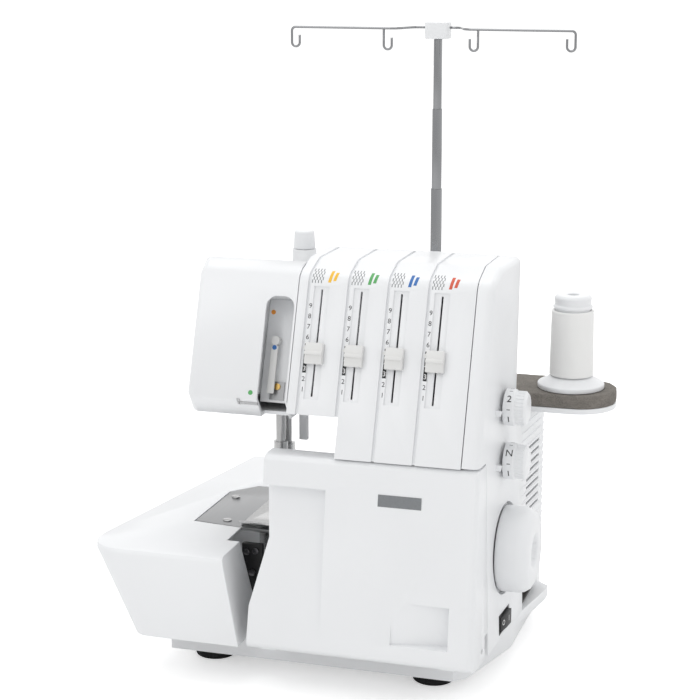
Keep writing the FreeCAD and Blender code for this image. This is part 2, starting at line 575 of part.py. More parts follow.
def make_head():
    """The face cover at the left end, its take-up window and what shows inside it."""
    def profile(inset, back):
        step = "(%s) / cos(face_lean)" % inset
        return [(face_y("head_chin_z") + " + " + step, "head_chin_z"),
                (face_y("head_shoulder") + " + " + step, "head_shoulder - (%s)" % inset),
                ("crest_y + (%s)" % inset, "crest_z - (%s)" % inset),
                (back, "head_back_z - (%s)" % inset), (back, "head_low + (%s)" % inset),
                (face_y("head_chin_z") + " + chin_back + " + step, "head_low + (%s)" % inset)]
    right = "panel_left - seam_gap"
    block = prism("head_block", "YZ", profile("0", "shell_back"), "head_left", right)
    solid = soften("head_rounded", block, ("head_round", lambda e: (
        abs(e.CenterOfMass.x - size("head_left")) < 0.01 and e.CenterOfMass.y < size("shell_back") - 0.01)))
    boss = rod("dial_boss_solid", "Z", ("dial_x", "dial_y", "head_back_z - wall"),
               "dial_low - slide_gap - head_back_z + wall", "dial_boss")
    hollow = prism("head_hollow", "YZ", profile("wall", "shell_back + 1"), "head_left + wall", "panel_left + 1")
    shell = join("head_with_boss", cut("head_shell", solid, hollow), boss)
    opening = face_block("window_block", ("window_left", "window_right"),
                         ("0", "(window_top - seam_z) / cos(face_lean)"), ("-20", "3 * wall"))
    inward = vec(0, math.cos(math.radians(size("face_lean"))), -math.sin(math.radians(size("face_lean"))))
    window = soften("head_window", opening, ("window_round", lambda e: (
        runs_along(e, inward) and e.CenterOfMass.z > size("head_chin_z"))))
    chin = box("window_mouth", ("window_left", "window_right"),
               (face_y("head_low") + " - 20", face_y("head_chin_z") + " + chin_back + 3 * wall"),
               ("head_low - 1", "head_chin_z + wall"))
    holes = [rod("head_dial_hole", "Z", ("dial_x", "dial_y", "head_back_z - 20"), "dial_high",
                 "presser_radius + slide_gap"),
             rod("head_needle_hole", "Z", ("needle_x", "needle_y", "head_low - 1"), "2 * wall",
                 "needle_bar_radius + wall"),
             rod("head_presser_hole", "Z", ("presser_x", "presser_y", "head_low - 1"), "2 * wall",
                 "presser_radius + wall"),
             box("head_lifter_hole", ("lifter_x - lifter_width - lifter_swing", "lifter_x + lifter_width"),
                 ("lifter_y - wall", "shell_back + 1"), ("head_low - 1", "head_low + 2 * wall"))]
    up = "(%s - seam_z) / cos(face_lean)"
    pan_low, pan_top = up % "head_chin_z" + " + 2 * wall", up % "window_top"
    pan_left = "window_left - pan_margin"
    walls = [face_block("pan_left_wall", (pan_left + " - pan_wall", pan_left), (pan_low, pan_top),
                        ("0.5 * wall", "guide_depth")),
             face_block("pan_right_wall", ("window_right", "window_right + pan_wall"), (pan_low, pan_top),
                        ("0.5 * wall", "guide_depth")),
             face_block("pan_top_wall", (pan_left + " - pan_wall", "window_right + pan_wall"),
                        (pan_top, pan_top + " + pan_wall"), ("0.5 * wall", "guide_depth"))]
    node("face_cover", cut("face_cover", join("head_with_pan", shell, *walls), window, chin, *holes))
    node("take_up_guide", face_block(
        "take_up_guide", (pan_left, "window_right"),
        (up % "head_low" + " + 16", up % "window_top"), ("guide_depth", "guide_depth + guide_thick")))
    low = up % "head_chin_z"
    strip = face_block("lever_strip", ("window_left + 2.5", "window_left + 7.5"), (low + " + 6", low + " + 40"),
                       ("guide_depth - 6", "guide_depth - 4.5"))
    hub = doc.addObject("Part::Cylinder", "lever_hub")
    bind(hub, Radius="3.2", Height="6")
    depth = "guide_depth - slide_gap"
    rise = low + " + 44"
    place(hub, "window_left + 5", "seam_y + (%s) * sin(face_lean) + (%s) * cos(face_lean)" % (rise, depth),
          "seam_z + (%s) * cos(face_lean) - (%s) * sin(face_lean)" % (rise, depth),
          FreeCAD.Rotation(vec(1, 0, 0), 90 - size("face_lean")))
    link = face_block("lever_link", ("window_left + 3.5", "window_left + 6.5"), (low + " + 38", rise),
                      ("guide_depth - 6", "guide_depth - 4.5"))
    node("take_up_lever", join("take_up_lever", strip, hub, link))


def make_rear_cover():
    """The back plate of the head, arm and column."""
    points = [("head_left", "head_low"), ("panel_left", "head_low"), ("column_left", "arm_low"),
              ("column_left", "seam_z"), ("shell_right", "seam_z"), ("shell_right", "top_z"),
              ("panel_left", "top_z"), ("panel_left", "head_back_z"), ("head_left", "head_back_z")]
    node("rear_cover", prism("rear_cover", "XZ", points, "shell_back", "shell_back + wall"))
    node("column_cover", box("column_cover", ("column_left", "column_left + wall"),
                             ("side_front + 6", "shell_back + wall"), (DECK + " + bed_thick", "seam_z - seam_gap")))


def make_right_cover():
    """The slanted right side, with a dish for the handwheel and openings for the controls."""
    def profile(inset):
        step = "(%s) / cos(face_lean)" % inset
        notch = "seam_z + seam_gap + (%s)" % inset
        return [("side_front + (%s)" % inset, DECK), ("side_front + (%s)" % inset, notch),
                (face_y("seam_z") + " + seam_gap * tan(face_lean) + " + step, notch),
                (face_y("face_top_z") + " + " + step, "face_top_z - (%s)" % inset),
                ("top_front + (%s)" % inset, "top_z - (%s)" % inset),
                ("shell_back - (%s)" % inset, "top_z - (%s)" % inset),
                ("side_waist - (%s)" % inset, "waist_high"), ("side_waist - (%s)" % inset, "waist_low"),
                ("shell_back - (%s)" % inset, "seam_z"), ("shell_back - (%s)" % inset, DECK)]
    left = "shell_right + seam_gap"
    outer = prism("side_outer", "YZ", profile("0"), left, "side_base + 40")
    crown = soften("side_crown", outer, ("shell_round", crown_edge))
    block = cut("side_block", crown, side_beyond("side_space", 0))

    def on_rim(edge):
        middle = edge.CenterOfMass
        plane = (size("side_base") + size("side_spread") * (middle.y - size("tray_front"))
                 + size("side_flare") * (size("top_z") - middle.z))
        return abs(middle.x - plane) < 0.3 and middle.z > size("seam_z") + 5 and middle.y < size("side_waist") - 2
    rounded = soften("side_rounded", block, ("side_round", on_rim))
    dish = rod("wheel_dish", "X", ("dish_floor", "wheel_y", "wheel_z"), "wheel_face", "wheel_radius + dish_gap")
    inner = cut("side_inner", prism("side_hollow", "YZ", profile("wall"), "shell_right - 1", "side_base + 40"),
                side_beyond("side_skin", size("wall")),
                rod("dish_back", "X", ("dish_floor - wall", "wheel_y", "wheel_z"), "wheel_face",
                    "wheel_radius + dish_gap + wall"))
    holes = [rod("wheel_hole", "X", ("shell_right", "wheel_y", "wheel_z"), "40", "shaft_radius + 2 * slide_gap"),
             rod("stitch_hole", "X", ("shell_right", "stitch_y", "stitch_z"), "40", "knob_shaft + run_fit"),
             rod("differ_hole", "X", ("shell_right", "differ_y", "differ_z"), "40", "knob_shaft + run_fit"),
             box("belt_window", ("shell_right", "pulley_x + pulley_width + 2"),
                 ("shell_back - wall - 1", "shell_back + 1"), ("motor_z - pulley_radius", "wheel_z + pulley_radius")),
             box("switch_hole", ("shell_right", "side_base + 40"),
                 ("switch_y - 0.5 * switch_long", "switch_y + 0.5 * switch_long"),
                 ("switch_z - 0.5 * switch_tall", "switch_z + 0.5 * switch_tall"))]
    node("right_cover", cut("right_cover", cut("side_dished", rounded, dish), inner, *holes))


def make_controls():
    """Stitch-length and differential dials, and the power switch."""
    for name, y, z in (("stitch_length_dial", "stitch_y", "stitch_z"), ("differential_dial", "differ_y", "differ_z")):
        start = side_x(y, z) + " + knob_gap"
        shaft = rod(name + "_shaft", "X", (start + " - knob_inset", y, z), "knob_inset + 1", "knob_shaft")
        grip = lathe(name + "_grip", "X", (start, y, z), [
            ("0", "0"), ("knob_radius", "0"), ("knob_radius", "0.45 * knob_length"),
            ("knob_radius - 1.2", "0.5 * knob_length"), ("knob_radius - 1.6", "knob_length - 1.5"),
            ("knob_radius - 3.2", "knob_length"), ("0", "knob_length")])
        node(name, join(name, shaft, grip))
    front = side_x("switch_y", "switch_z")
    gap = "slide_gap"
    case = box("switch_case_solid", (front + " - switch_deep", front + " - slide_gap"),
               ("switch_y - 0.5 * switch_long + " + gap, "switch_y + 0.5 * switch_long - " + gap),
               ("switch_z - 0.5 * switch_tall + " + gap, "switch_z + 0.5 * switch_tall - " + gap))
    pocket = box("switch_case_pocket", (front + " - switch_deep + 2", front),
                 ("switch_y - 0.5 * switch_long + 1.5", "switch_y + 0.5 * switch_long - 1.5"),
                 ("switch_z - 0.5 * switch_tall + 1.5", "switch_z + 0.5 * switch_tall - 1.5"))
    pivot = rod("switch_pivot", "Z", (front + " - rocker_pivot", "switch_y", "switch_z - 0.5 * switch_tall - 1"),
                "switch_tall + 2", "rocker_pin + run_fit")
    node("switch_case", cut("switch_case", case, pocket, pivot))
    node("power_rocker", make_rocker())


def make_rocker():
    """The rocker on its pin: two flats that meet at a shallow ridge, tilted to its off side."""
    half = size("switch_long") / 2 - 3
    tall = size("switch_tall") - 4
    tilt = math.radians(size("rocker_tilt"))
    back = size("rocker_pivot")
    ridge = back + 2
    edge = ridge + 1 - half * math.tan(tilt)
    points = [vec(back - 6, 2 - half, 0), vec(edge, -half, 0), vec(ridge, 0, 0), vec(edge, half, 0),
              vec(back - 6, half - 2, 0)]
    turn = FreeCAD.Rotation(vec(0, 0, 1), -size("rocker_tilt"))
    corners = [turn.multVec(p) for p in points]
    face = Part.Face(Part.makePolygon(corners + corners[:1]))
    reach = 1.3
    pin = Part.makeCylinder(size("rocker_pin"), tall + 2 * reach, vec(0, 0, -reach))
    rocker = doc.addObject("Part::Feature", "power_rocker")
    rocker.Shape = face.extrude(vec(0, 0, tall)).fuse(pin)
    x = (size("side_base") + size("side_spread") * (size("switch_y") - size("tray_front"))
         + size("side_flare") * (size("top_z") - size("switch_z")) - back)
    rocker.Placement = FreeCAD.Placement(vec(x, size("switch_y"), size("switch_z") - tall / 2), FreeCAD.Rotation())
    return rocker


def make_looper_cover():
    """The front cover with its scoop and finger recess, and the hinge it slides and tips on."""
    low = DECK + " + seam_gap"
    top = "(seam_z - cover_top_gap)"
    rear = "side_front - cover_gap"

    def block(name, inset, bottom, left, back):
        step = "(%s) / cos(cover_lean)" % inset
        return prism(name, "YZ", [(cover_y(bottom) + " + " + step, bottom),
                                  (cover_y(top) + " + " + step, top + " - (%s)" % inset),
                                  (back, top + " - (%s)" % inset), (back, bottom)], left, "side_base + 40")

    def scoop(name, inset):
        return prism(name, "YZ", [("seam_y - 60", "scoop_low - 2 * (%s)" % inset),
                                  (cover_y("scoop_low") + " + (%s)" % inset, "scoop_low - 2 * (%s)" % inset),
                                  (cover_y("scoop_top") + " + scoop_depth + (%s)" % inset,
                                   "scoop_top + (%s)" % inset),
                                  ("seam_y - 60", "scoop_top + (%s)" % inset)],
                     "cover_left_low - 10", "scoop_right + (%s)" % inset)

    def finger(name, inset):
        middle = cover_y("(0.5 * (finger_low + finger_high))")
        return prism(name, "XY", [("finger_left", "seam_y - 60"), ("finger_right + (%s)" % inset, "seam_y - 60"),
                                  ("finger_right + (%s)" % inset, middle + " + finger_depth + (%s)" % inset),
                                  ("finger_left", middle + " + (%s)" % inset)],
                     "finger_low - (%s)" % inset, "finger_high + (%s)" % inset)
    across = vec(1, 0, 0)
    solid = cut("cover_block", block("cover_outer", "0", low, "cover_left_low", rear), side_beyond("cover_space", 0))
    rounded = soften("cover_rounded", solid, ("cover_round", lambda e: (
        runs_along(e, across) and e.CenterOfMass.y < size("hinge_y") + 10 or
        (e.CenterOfMass.x > size("shell_right") and e.CenterOfMass.y < size("side_front") - 2
         and e.Length > 60))))
    edge = prism("cover_edge", "XZ", [("cover_left_low", "cover_edge_z"), ("cover_left_mid", "cover_mid_z"),
                                      ("cover_left_top", "scoop_top"), ("cover_left_top", "seam_z + 1"),
                                      ("cover_left_low - 10", "seam_z + 1"), ("cover_left_low - 10", "cover_edge_z")],
                 "seam_y - 60", "0")
    inner = cut("cover_inner", block("cover_hollow", "wall", low + " + wall", "cover_left_low - 1", rear + " + 1"),
                side_beyond("cover_skin", size("wall")), scoop("scoop_back", "wall"), finger("finger_back", "wall"))
    floor = box("cover_floor", ("cover_left_low - 1", "shell_right - 1"),
                (cover_y(low) + " + lip_depth", rear + " + 1"), (low + " - 1", low + " + wall + 1"))
    roof = box("cover_roof", ("column_left", "shell_right"), (cover_y(top) + " + top_lip", rear + " + 1"),
               (top + " - 2 * wall", top + " + 1"))
    heel = box("cover_heel", ("shell_right - 1", "side_base + 40"), ("hinge_y + wrap_cut", rear + " + 1"),
               (low + " - 1", low + " + 2 * hinge_rise"))
    shell = cut("cover_shell", rounded, scoop("cover_scoop", "0"), finger("cover_finger", "0"), edge, inner, floor,
                roof, heel)
    hinge_z = low + " + hinge_rise"
    rings = []
    for i, x in enumerate(("arm_left - knuckle_width - 1", "arm_right + arm_width + 1")):
        ear = box("cover_ear_%d" % i, (x, x + " + knuckle_width"),
                  (cover_y(low) + " + wall", "hinge_y"), (low + " + 0.5", hinge_z + " + knuckle_radius"))
        drum = rod("cover_knuckle_%d" % i, "X", (x, "hinge_y", hinge_z), "knuckle_width", "knuckle_radius")
        rings += [ear, drum]
    bore = rod("cover_hinge_bore", "X", ("cover_left_low", "hinge_y", hinge_z), "2 * side_base",
               "hinge_rod + run_fit")
    node("looper_cover", cut("looper_cover", join("cover_with_ears", shell, *rings), bore))
    pin = rod("hinge_pin", "X", ("arm_left - knuckle_width - 3", "hinge_y", hinge_z),
              "arm_right - arm_left + arm_width + 2 * knuckle_width + 6", "hinge_rod")
    arms = [box("hinge_arm_%d" % i, (x, x + " + arm_width"), ("hinge_y - hinge_rod", "tray_front + tray_wall"),
                (DECK + " + run_fit", hinge_z + " + hinge_rod")) for i, x in enumerate(("arm_left", "arm_right"))]
    node("looper_cover_hinge", join("looper_cover_hinge", pin, *arms))


def make_cloth_plate():
    """The work plate at the left: top, leaning front and tucked-in left side, on an upright pin."""
    low = "(%s + cover_gap)" % DECK
    top = "plate_top"

    def share(z):
        return "((plate_top - (%s)) / (plate_top - %s))" % (z, low)

    def corner(z, inset):
        """The rounded front left corner at a height."""
        left = "plate_front_left + plate_tuck * %s + (%s)" % (share(z), inset)
        front = cover_y("(%s)" % z) + " + (%s)" % inset
        radius = "(plate_corner - plate_low_corner * %s)" % share(z)
        steps = [90.0 * i / CORNER_STEPS for i in range(CORNER_STEPS + 1)]
        return [(left + " + %s * (1 - cos(%.1f))" % (radius, a), front + " + %s * (1 - sin(%.1f))" % (radius, a))
                for a in steps]

    def flank(z):
        """The right edge of the flared front part at a height."""
        return "plate_right + plate_flare + (plate_low_right - plate_right - plate_flare) * " + share(z)

    def outer_rim(z, inset):
        right = flank(z)
        front = cover_y("(%s)" % z) + " + (%s)" % inset
        return corner(z, inset) + [
            (right, front), (right, "plate_flare_start"), ("plate_right", "plate_flare_start"),
            ("plate_right", "plate_back"),
            ("plate_left_back + plate_tuck * %s + (%s)" % (share(z), inset), "plate_back")]

    def inner_rim(z):
        front = cover_y("(%s)" % z) + " + plate_wall"
        right = flank(z) + " - plate_wall"
        return corner(z, "plate_wall") + [
            (right, front), (right, "plate_flare_start"), ("0", "plate_flare_start"), ("0", "plate_back + 1"),
            ("plate_left_back + plate_tuck * %s + plate_wall" % share(z), "plate_back + 1")]
    levels = [(low, "0"), (top + " - plate_round", "0"), (top + " - 0.3 * plate_round", "0.3 * plate_round"),
              (top, "plate_round")]
    outer = loft("plate_outer", [(outer_rim(z, inset), z) for z, inset in levels])
    roof = top + " - plate_wall"
    inner = loft("plate_hollow", [(inner_rim(low + " - 1"), low + " - 1"),
                                  (inner_rim(top + " - plate_round"), top + " - plate_round"),
                                  (inner_rim(roof), roof)])
    opening = prism("plate_opening", "XY", plate_outline("plate_gap", "plate_right + plate_flare + 1"),
                    "plate_top - 2 * needle_plate_thick", "plate_top + 1")
    shell = cut("plate_shell", outer, inner, opening)
    drum = rod("pivot_drum", "Z", ("pivot_x", "pivot_y", roof + " - pivot_ring"), "pivot_ring",
               "pivot_radius + plate_wall")
    bore = rod("pivot_bore", "Z", ("pivot_x", "pivot_y", low), roof + " - (%s)" % low, "pivot_radius + run_fit")
    node("cloth_plate", cut("cloth_plate", join("plate_with_drum", shell, drum), bore))


def plate_outline(gap, right):
    """The needle plate's plan, grown by a gap."""
    return [("needle_plate_left - (%s)" % gap, "needle_plate_front + needle_plate_skew - (%s)" % gap),
            ("pivot_x", "needle_plate_front - (%s)" % gap), (right, "needle_plate_front - (%s)" % gap),
            (right, "needle_plate_back + (%s)" % gap),
            ("needle_plate_left + 16", "needle_plate_back + (%s)" % gap),
            ("needle_plate_left - (%s)" % gap, "needle_plate_back - 20")]


def make_stitch_plate():
    """The steel needle plate, its screws, the lower knife and the black gear bracket beside it."""
    low = "plate_top - needle_plate_thick"
    sheet_steel = prism("needle_sheet", "XY", plate_outline("0", "needle_plate_right"), low, "plate_top")
    slots = [box("needle_slot", ("needle_x - 0.5 * needle_slot_x", "needle_x + 0.5 * needle_slot_x"),
                 ("needle_y - 0.5 * needle_slot_y", "needle_y + 0.5 * needle_slot_y"),
                 (low + " - 1", "plate_top + 1")),
             box("feed_slot", ("feed_left - 1", "feed_left + 2 * feed_width + feed_gap + 1"),
                 ("feed_front - 4", "block_front - 6"), (low + " - 1", "plate_top + 1")),
             box("knife_slot", ("knife_x - 2 * knife_thick", "knife_x + 2 * knife_thick"),
                 ("needle_plate_front - 1", "knife_y + knife_wide"), (low + " - 1", "plate_top + 1"))]
    node("needle_plate", cut("needle_plate", sheet_steel, *slots))
    heads = [rod("plate_screw_%d" % i, "Z", (x, y, "plate_top"), "1", "3.6")
             for i, (x, y) in enumerate((("needle_plate_left + 9", "3"), ("needle_plate_left + 23", "-53")))]
    node("needle_plate_screws", group("needle_plate_screws", heads))
    edge = "knife_x - 2 * knife_thick"
    node("lower_knife", box("lower_knife", ("feed_left + 2 * feed_width + feed_gap + 1", edge),
                            ("knife_y - 8", "knife_y + knife_wide"),
                            ("plate_top - needle_plate_thick - 14", "plate_top - needle_plate_thick")))
    foot = box("bracket_foot", ("bracket_x", "bracket_x + 3 * bracket_wide"),
               ("bracket_y", "bed_front + 10"), (DECK + " + bed_thick", DECK + " + 2 * bed_thick"))
    post = box("bracket_post", ("bracket_x", "bracket_x + bracket_wide"),
               ("bracket_y", "bracket_y + bracket_thick"), (DECK + " + bed_thick", "bracket_high"))
    bolts = [rod("bracket_bolt_%d" % i, "Y", (x, "bracket_y - bolt_head", z), "bolt_head", "bolt_radius")
             for i, (x, z) in enumerate((("bracket_x + 4", "bracket_high - 6"),
                                         ("bracket_x + 11", "bracket_high - 5"),
                                         ("bracket_x + 8", "bracket_high - 22")))]
    node("gear_bracket", group("gear_bracket", [join("bracket_solid", foot, post)] + bolts))


def make_needle_gear():
    """Needle bar, clamp and needles, and the rocker that drives the bar."""
    bar = rod("needle_rod", "Z", ("needle_x", "needle_y", "clamp_low + 1"), "needle_bar_top - clamp_low - 1",
              "needle_bar_radius")
    block = rod("clamp_block", "Z", ("needle_x", "needle_y", "clamp_low"), "clamp_high - clamp_low", "clamp_radius")
    screw = rod("clamp_screw", "Y", ("needle_x", "needle_y - clamp_radius - 4", "clamp_low + 7"), "clamp_radius", "2")
    sockets = [rod("needle_socket_%d" % i, "Z", (x, "needle_y", "clamp_low"), "10", "needle_radius")
               for i, x in enumerate(needle_places())]
    node("needle_bar", cut("needle_bar", join("needle_bar_solid", bar, block, screw), *sockets))
    needles = []
    for i, x in enumerate(needle_places()):
        shank = rod("needle_shank_%d" % i, "Z", (x, "needle_y", "needle_tip + 8"), "clamp_low + 10 - needle_tip - 8",
                    "needle_radius")
        point = doc.addObject("Part::Cone", "needle_point_%d" % i)
        bind(point, Radius1="0.15", Radius2="needle_radius", Height="8")
        place(point, x, "needle_y", "needle_tip")
        needles.append(join("needle_%d" % i, shank, point))
    node("needles", group("needles", needles))
    shaft = rod("rocker_bar", "X", ("needle_x - 6", "rocker_y", "rocker_z"), "web_left + web_thick - needle_x + 10",
                "rocker_radius")
    lever = box("rocker_lever", ("needle_x - 5", "needle_x + 5"),
                ("rocker_y", "arm_front - 2"), ("rocker_z - 6", "rocker_z + 1"))
    node("needle_rocker", join("needle_rocker", shaft, lever))


def needle_places():
    return ("needle_x - 0.5 * needle_spread", "needle_x + 0.5 * needle_spread")


def make_presser():
    """Presser bar, foot, lifter and the pressure dial on top."""
    node("presser_bar", rod("presser_bar", "Z", ("presser_x", "presser_y", "shank_top"), "presser_top - shank_top",
                            "presser_radius"))
    low = "plate_top + foot_gap"
    sole_sides = ("foot_edge - foot_wide", "foot_edge")
    sole = box("foot_sole", sole_sides, ("sole_front", "sole_back"), (low, low + " + foot_sole"))
    toe = prism("foot_toe", "YZ", [
        ("sole_front", low), ("sole_front", low + " + foot_sole"),
        ("sole_front - toe_reach", low + " + toe_rise + 0.6 * foot_sole"),
        ("sole_front - toe_reach", low + " + toe_rise")],
        *sole_sides)
    slot = box("foot_slot", ("needle_x - 0.5 * needle_slot_x - 1", "needle_x + 0.5 * needle_slot_x + 1"),
               ("needle_y - 0.5 * needle_slot_y", "needle_y + 0.5 * needle_slot_y"), (low + " - 1", "shank_top"))
    shank = box("foot_shank", ("presser_x - 5", "presser_x + 5"), ("presser_y - 5", "presser_y + 5"),
                (low, "shank_top"))
    node("presser_foot", cut("presser_foot", join("foot_solid", sole, toe, shank), slot))
    half = "0.5 * lifter_width"
    paddle = prism("lifter_paddle", "XZ", [
        ("lifter_x - " + half, "lifter_low"), ("lifter_x + " + half, "lifter_low"),
        ("lifter_x + " + half, "head_low"), ("lifter_pivot_x + lifter_lug", "lifter_pivot_z + lifter_lug"),
        ("lifter_pivot_x - lifter_lug", "lifter_pivot_z + lifter_lug"), ("lifter_x - " + half, "head_low")],
        "lifter_y", "lifter_y + lifter_thick")
    pin = rod("lifter_pivot", "Y", ("lifter_pivot_x", "lifter_y - 7", "lifter_pivot_z"), "8", "lifter_pin")
    node("presser_lifter", join("presser_lifter", paddle, pin))
    cap = lathe("pressure_cap", "Z", ("dial_x", "dial_y", "dial_low"), [
        ("0", "0"), ("dial_radius", "0"), ("dial_radius - 0.6", "dial_high - dial_low - 1"),
        ("dial_radius - 1.8", "dial_high - dial_low"), ("0", "dial_high - dial_low")])
    screw_low = "presser_top + presser_lift + 2 * slide_gap"
    screw = rod("pressure_screw", "Z", ("dial_x", "dial_y", screw_low), "dial_low - (%s)" % screw_low,
                "presser_radius")
    node("pressure_dial", join("pressure_dial", cap, screw))


def make_loopers():
    """Upper and lower looper on their pivots, the upper knife and both feed dogs."""
    for name in ("upper_looper", "lower_looper"):
        x, y, z = name + "_x", name + "_y", name + "_z"
        hub = rod(name + "_hub", "Y", (x, y, z), "looper_wide + 6", "looper_radius + 2")
        reach = box(name + "_arm", (x + " - looper_reach", x),
                    (y, y + " + looper_thick"), (z + " - 0.5 * looper_wide", z + " + 0.5 * looper_wide"))
        hook = box(name + "_hook", (x + " - looper_reach", x + " - looper_reach + looper_thick"),
                   (y, y + " + looper_thick"), (z, z + " + 3 * looper_wide"))
        bore = rod(name + "_bore", "Y", (x, y + " - 1", z), "looper_wide + 8", "looper_radius + run_fit")
        node(name, cut(name, join(name + "_solid", hub, reach, hook), bore))
    blade = box("knife_blade", ("knife_x - 0.5 * knife_thick", "knife_x + 0.5 * knife_thick"),
                ("knife_y - 0.5 * knife_wide", "knife_y + 0.5 * knife_wide"), ("plate_top + 2", "knife_high"))
    holder = box("knife_holder", ("knife_x + 0.5 * knife_thick", "knife_x + 3 * knife_thick"),
                 ("knife_y - 0.5 * knife_wide", "knife_y + 0.5 * knife_wide"),
                 ("knife_arm_low", "knife_high + 4"))
    lever = box("knife_arm", ("knife_x + 3 * knife_thick", "column_left - 2"),
                ("knife_y - 0.5 * knife_wide", "knife_y + 0.5 * knife_wide"), ("knife_arm_low", "knife_arm_low + 8"))
    node("upper_knife", join("upper_knife", blade, holder, lever))
    for i, name in enumerate(("main_feed_dog", "differential_feed_dog")):
        left = "feed_left + %d * (feed_width + feed_gap)" % i
        bar = box(name + "_bar", (left, left + " + feed_width"), ("feed_front", "feed_back"),
                  ("feed_low", "feed_low + feed_bar"))
        rise = box(name + "_teeth", (left, left + " + feed_width"), ("feed_front", "feed_front + 36"),
                   ("feed_low + feed_bar", "plate_top - slide_gap"))
        node(name, join(name, bar, rise))


def make_motor_cover():
    """The ribbed cover over the motor, with louvres in its right side and the power inlet."""
    def plan(inset, front):
        return [("rear_left + (%s)" % inset, front), ("rear_right - (%s)" % inset, front),
                ("rear_right + rear_bulge - (%s)" % inset, "rear_bulge_y"),
                ("rear_right - (%s)" % inset, "rear_bevel_y"),
                ("rear_right - 2 * rear_round - 0.5 * (%s)" % inset, "rear_back - (%s)" % inset),
                ("rear_left + (%s)" % inset, "rear_back - (%s)" % inset)]
    shell = prism("rear_shell", "XY", plan("0", "shell_back + wall + seam_gap"), DECK, "rear_top")
    rounded = soften("rear_rounded", shell, ("rear_round", lambda e: (
        abs(e.CenterOfMass.z - size("rear_top")) < 0.01 and e.CenterOfMass.y > size("shell_back") + 5)))
    hollow = prism("rear_hollow", "XY", plan("wall", "shell_back"), DECK + " - 1", "rear_top - wall")
    bed_way = box("rear_bed_way", ("rear_left - 1", "rear_left + 2 * wall"), ("shell_back", "bed_back + seam_gap"),
                  (DECK + " - 1", DECK + " + bed_thick + seam_gap"))
    louvres = []
    for i in range(int(size("louvre_count"))):
        z = "louvre_low + %d * louvre_pitch" % i
        louvres.append(box("louvre_%d" % i, ("rear_right - 4 * wall", "rear_right + 2 * rear_bulge"),
                           ("louvre_y", "louvre_y + louvre_length"), (z, z + " + louvre_width")))
    inlet_face = "rear_right + rear_bulge"
    opening = box("inlet_opening", ("rear_right - 4 * wall", "rear_right + 2 * rear_bulge"),
                  ("inlet_y - 0.5 * inlet_long", "inlet_y + 0.5 * inlet_long"),
                  ("inlet_z - 0.5 * inlet_tall", "inlet_z + 0.5 * inlet_tall"))
    node("motor_cover", cut("motor_cover", rounded, hollow, bed_way, opening, *louvres))
    case = box("inlet_case", (inlet_face + " - inlet_deep", inlet_face),
               ("inlet_y - 0.5 * inlet_long + slide_gap", "inlet_y + 0.5 * inlet_long - slide_gap"),
               ("inlet_z - 0.5 * inlet_tall + slide_gap", "inlet_z + 0.5 * inlet_tall - slide_gap"))
    pocket = box("inlet_pocket", (inlet_face + " - inlet_deep + 2", inlet_face + " + 1"),
                 ("inlet_y - 0.5 * inlet_long + 2", "inlet_y + 0.5 * inlet_long - 2"),
                 ("inlet_z - 0.5 * inlet_tall + 2", "inlet_z + 0.5 * inlet_tall - 2"))
    pins = [rod("inlet_pin_%d" % (i + 1), "X", (inlet_face + " - inlet_deep + 2", "inlet_y + (%d) * pin_spread" % i,
                                          "inlet_z - pin_drop"), "inlet_deep - 5", "pin_radius") for i in (-1, 0, 1)]
    node("power_inlet", group("power_inlet", [cut("inlet_housing", case, pocket)] + pins))


def make_bed_cover():
    """The flat cover behind the needle plate, with its back and left walls."""
    left, right = "plate_right + plate_gap", "rear_left - seam_gap"
    bed_top = DECK + " + bed_thick"
    roof = box("bed_cover_roof", (left, right), ("needle_plate_back + plate_gap", "bed_cover_back"),
               ("plate_top - wall", "plate_top"))
    back = box("bed_cover_wall", ("bed_left", right), ("bed_cover_back - wall", "bed_cover_back"),
               (bed_top, "plate_top"))
    side = box("bed_cover_left", ("bed_left", "bed_left + wall"), ("block_back", "bed_cover_back"),
               (bed_top, "plate_top"))
    node("bed_cover", join("bed_cover", roof, back, side))


def stadium(name, low, thick, half):
    """A long plate with round ends, under the spools."""
    bar = box(name + "_bar", ("stand_left", "stand_right"), ("stand_y - " + half, "stand_y + " + half),
              (low, "%s + %s" % (low, thick)))
    ends = [rod(name + "_end_" + side, "Z", ("stand_" + side, "stand_y", low), thick, half)
            for side in ("left", "right")]
    return join(name, bar, *ends)


def pin_places():
    return ["mast_x + %s * pin_pitch" % k for k in ("(-1.5)", "(-0.5)", "0.5", "1.5")]


def make_spool_stand():
    """The tray with its bracket, the foam pad and the four spool pins."""
    tray = stadium("stand_tray", "stand_low", "stand_thick", "stand_half")
    bracket = box("stand_bracket", ("mast_x - 22", "mast_x + 22"), ("stand_y - 18", "stand_y + 18"),
                  ("rear_top", "stand_low"))
    socket = rod("stand_socket", "Z", ("mast_x", "mast_y", "rear_top - 1"), "stand_thick + 20", "mast_one + run_fit")
    node("spool_stand", cut("spool_stand", join("stand_solid", tray, bracket), socket))
    pad_low = "stand_low + stand_thick"
    pad = stadium("pad_solid", pad_low, "pad_thick", "(stand_half + 0.5)")
    holes = [rod("pad_hole_%d" % i, "Z", (x, "mast_y", pad_low + " - 1"), "pad_thick + 2", "spool_pin + slide_gap")
             for i, x in enumerate(pin_places())]
    holes.append(rod("pad_mast_hole", "Z", ("mast_x", "mast_y", pad_low + " - 1"), "pad_thick + 2",
                     "mast_one + slide_gap"))
    node("spool_pad", cut("spool_pad", pad, *holes))
    pins = [rod("spool_pin_%d" % i, "Z", (x, "mast_y", pad_low), "pad_thick + pin_height", "spool_pin")
            for i, x in enumerate(pin_places())]
    node("spool_pins", group("spool_pins", pins))


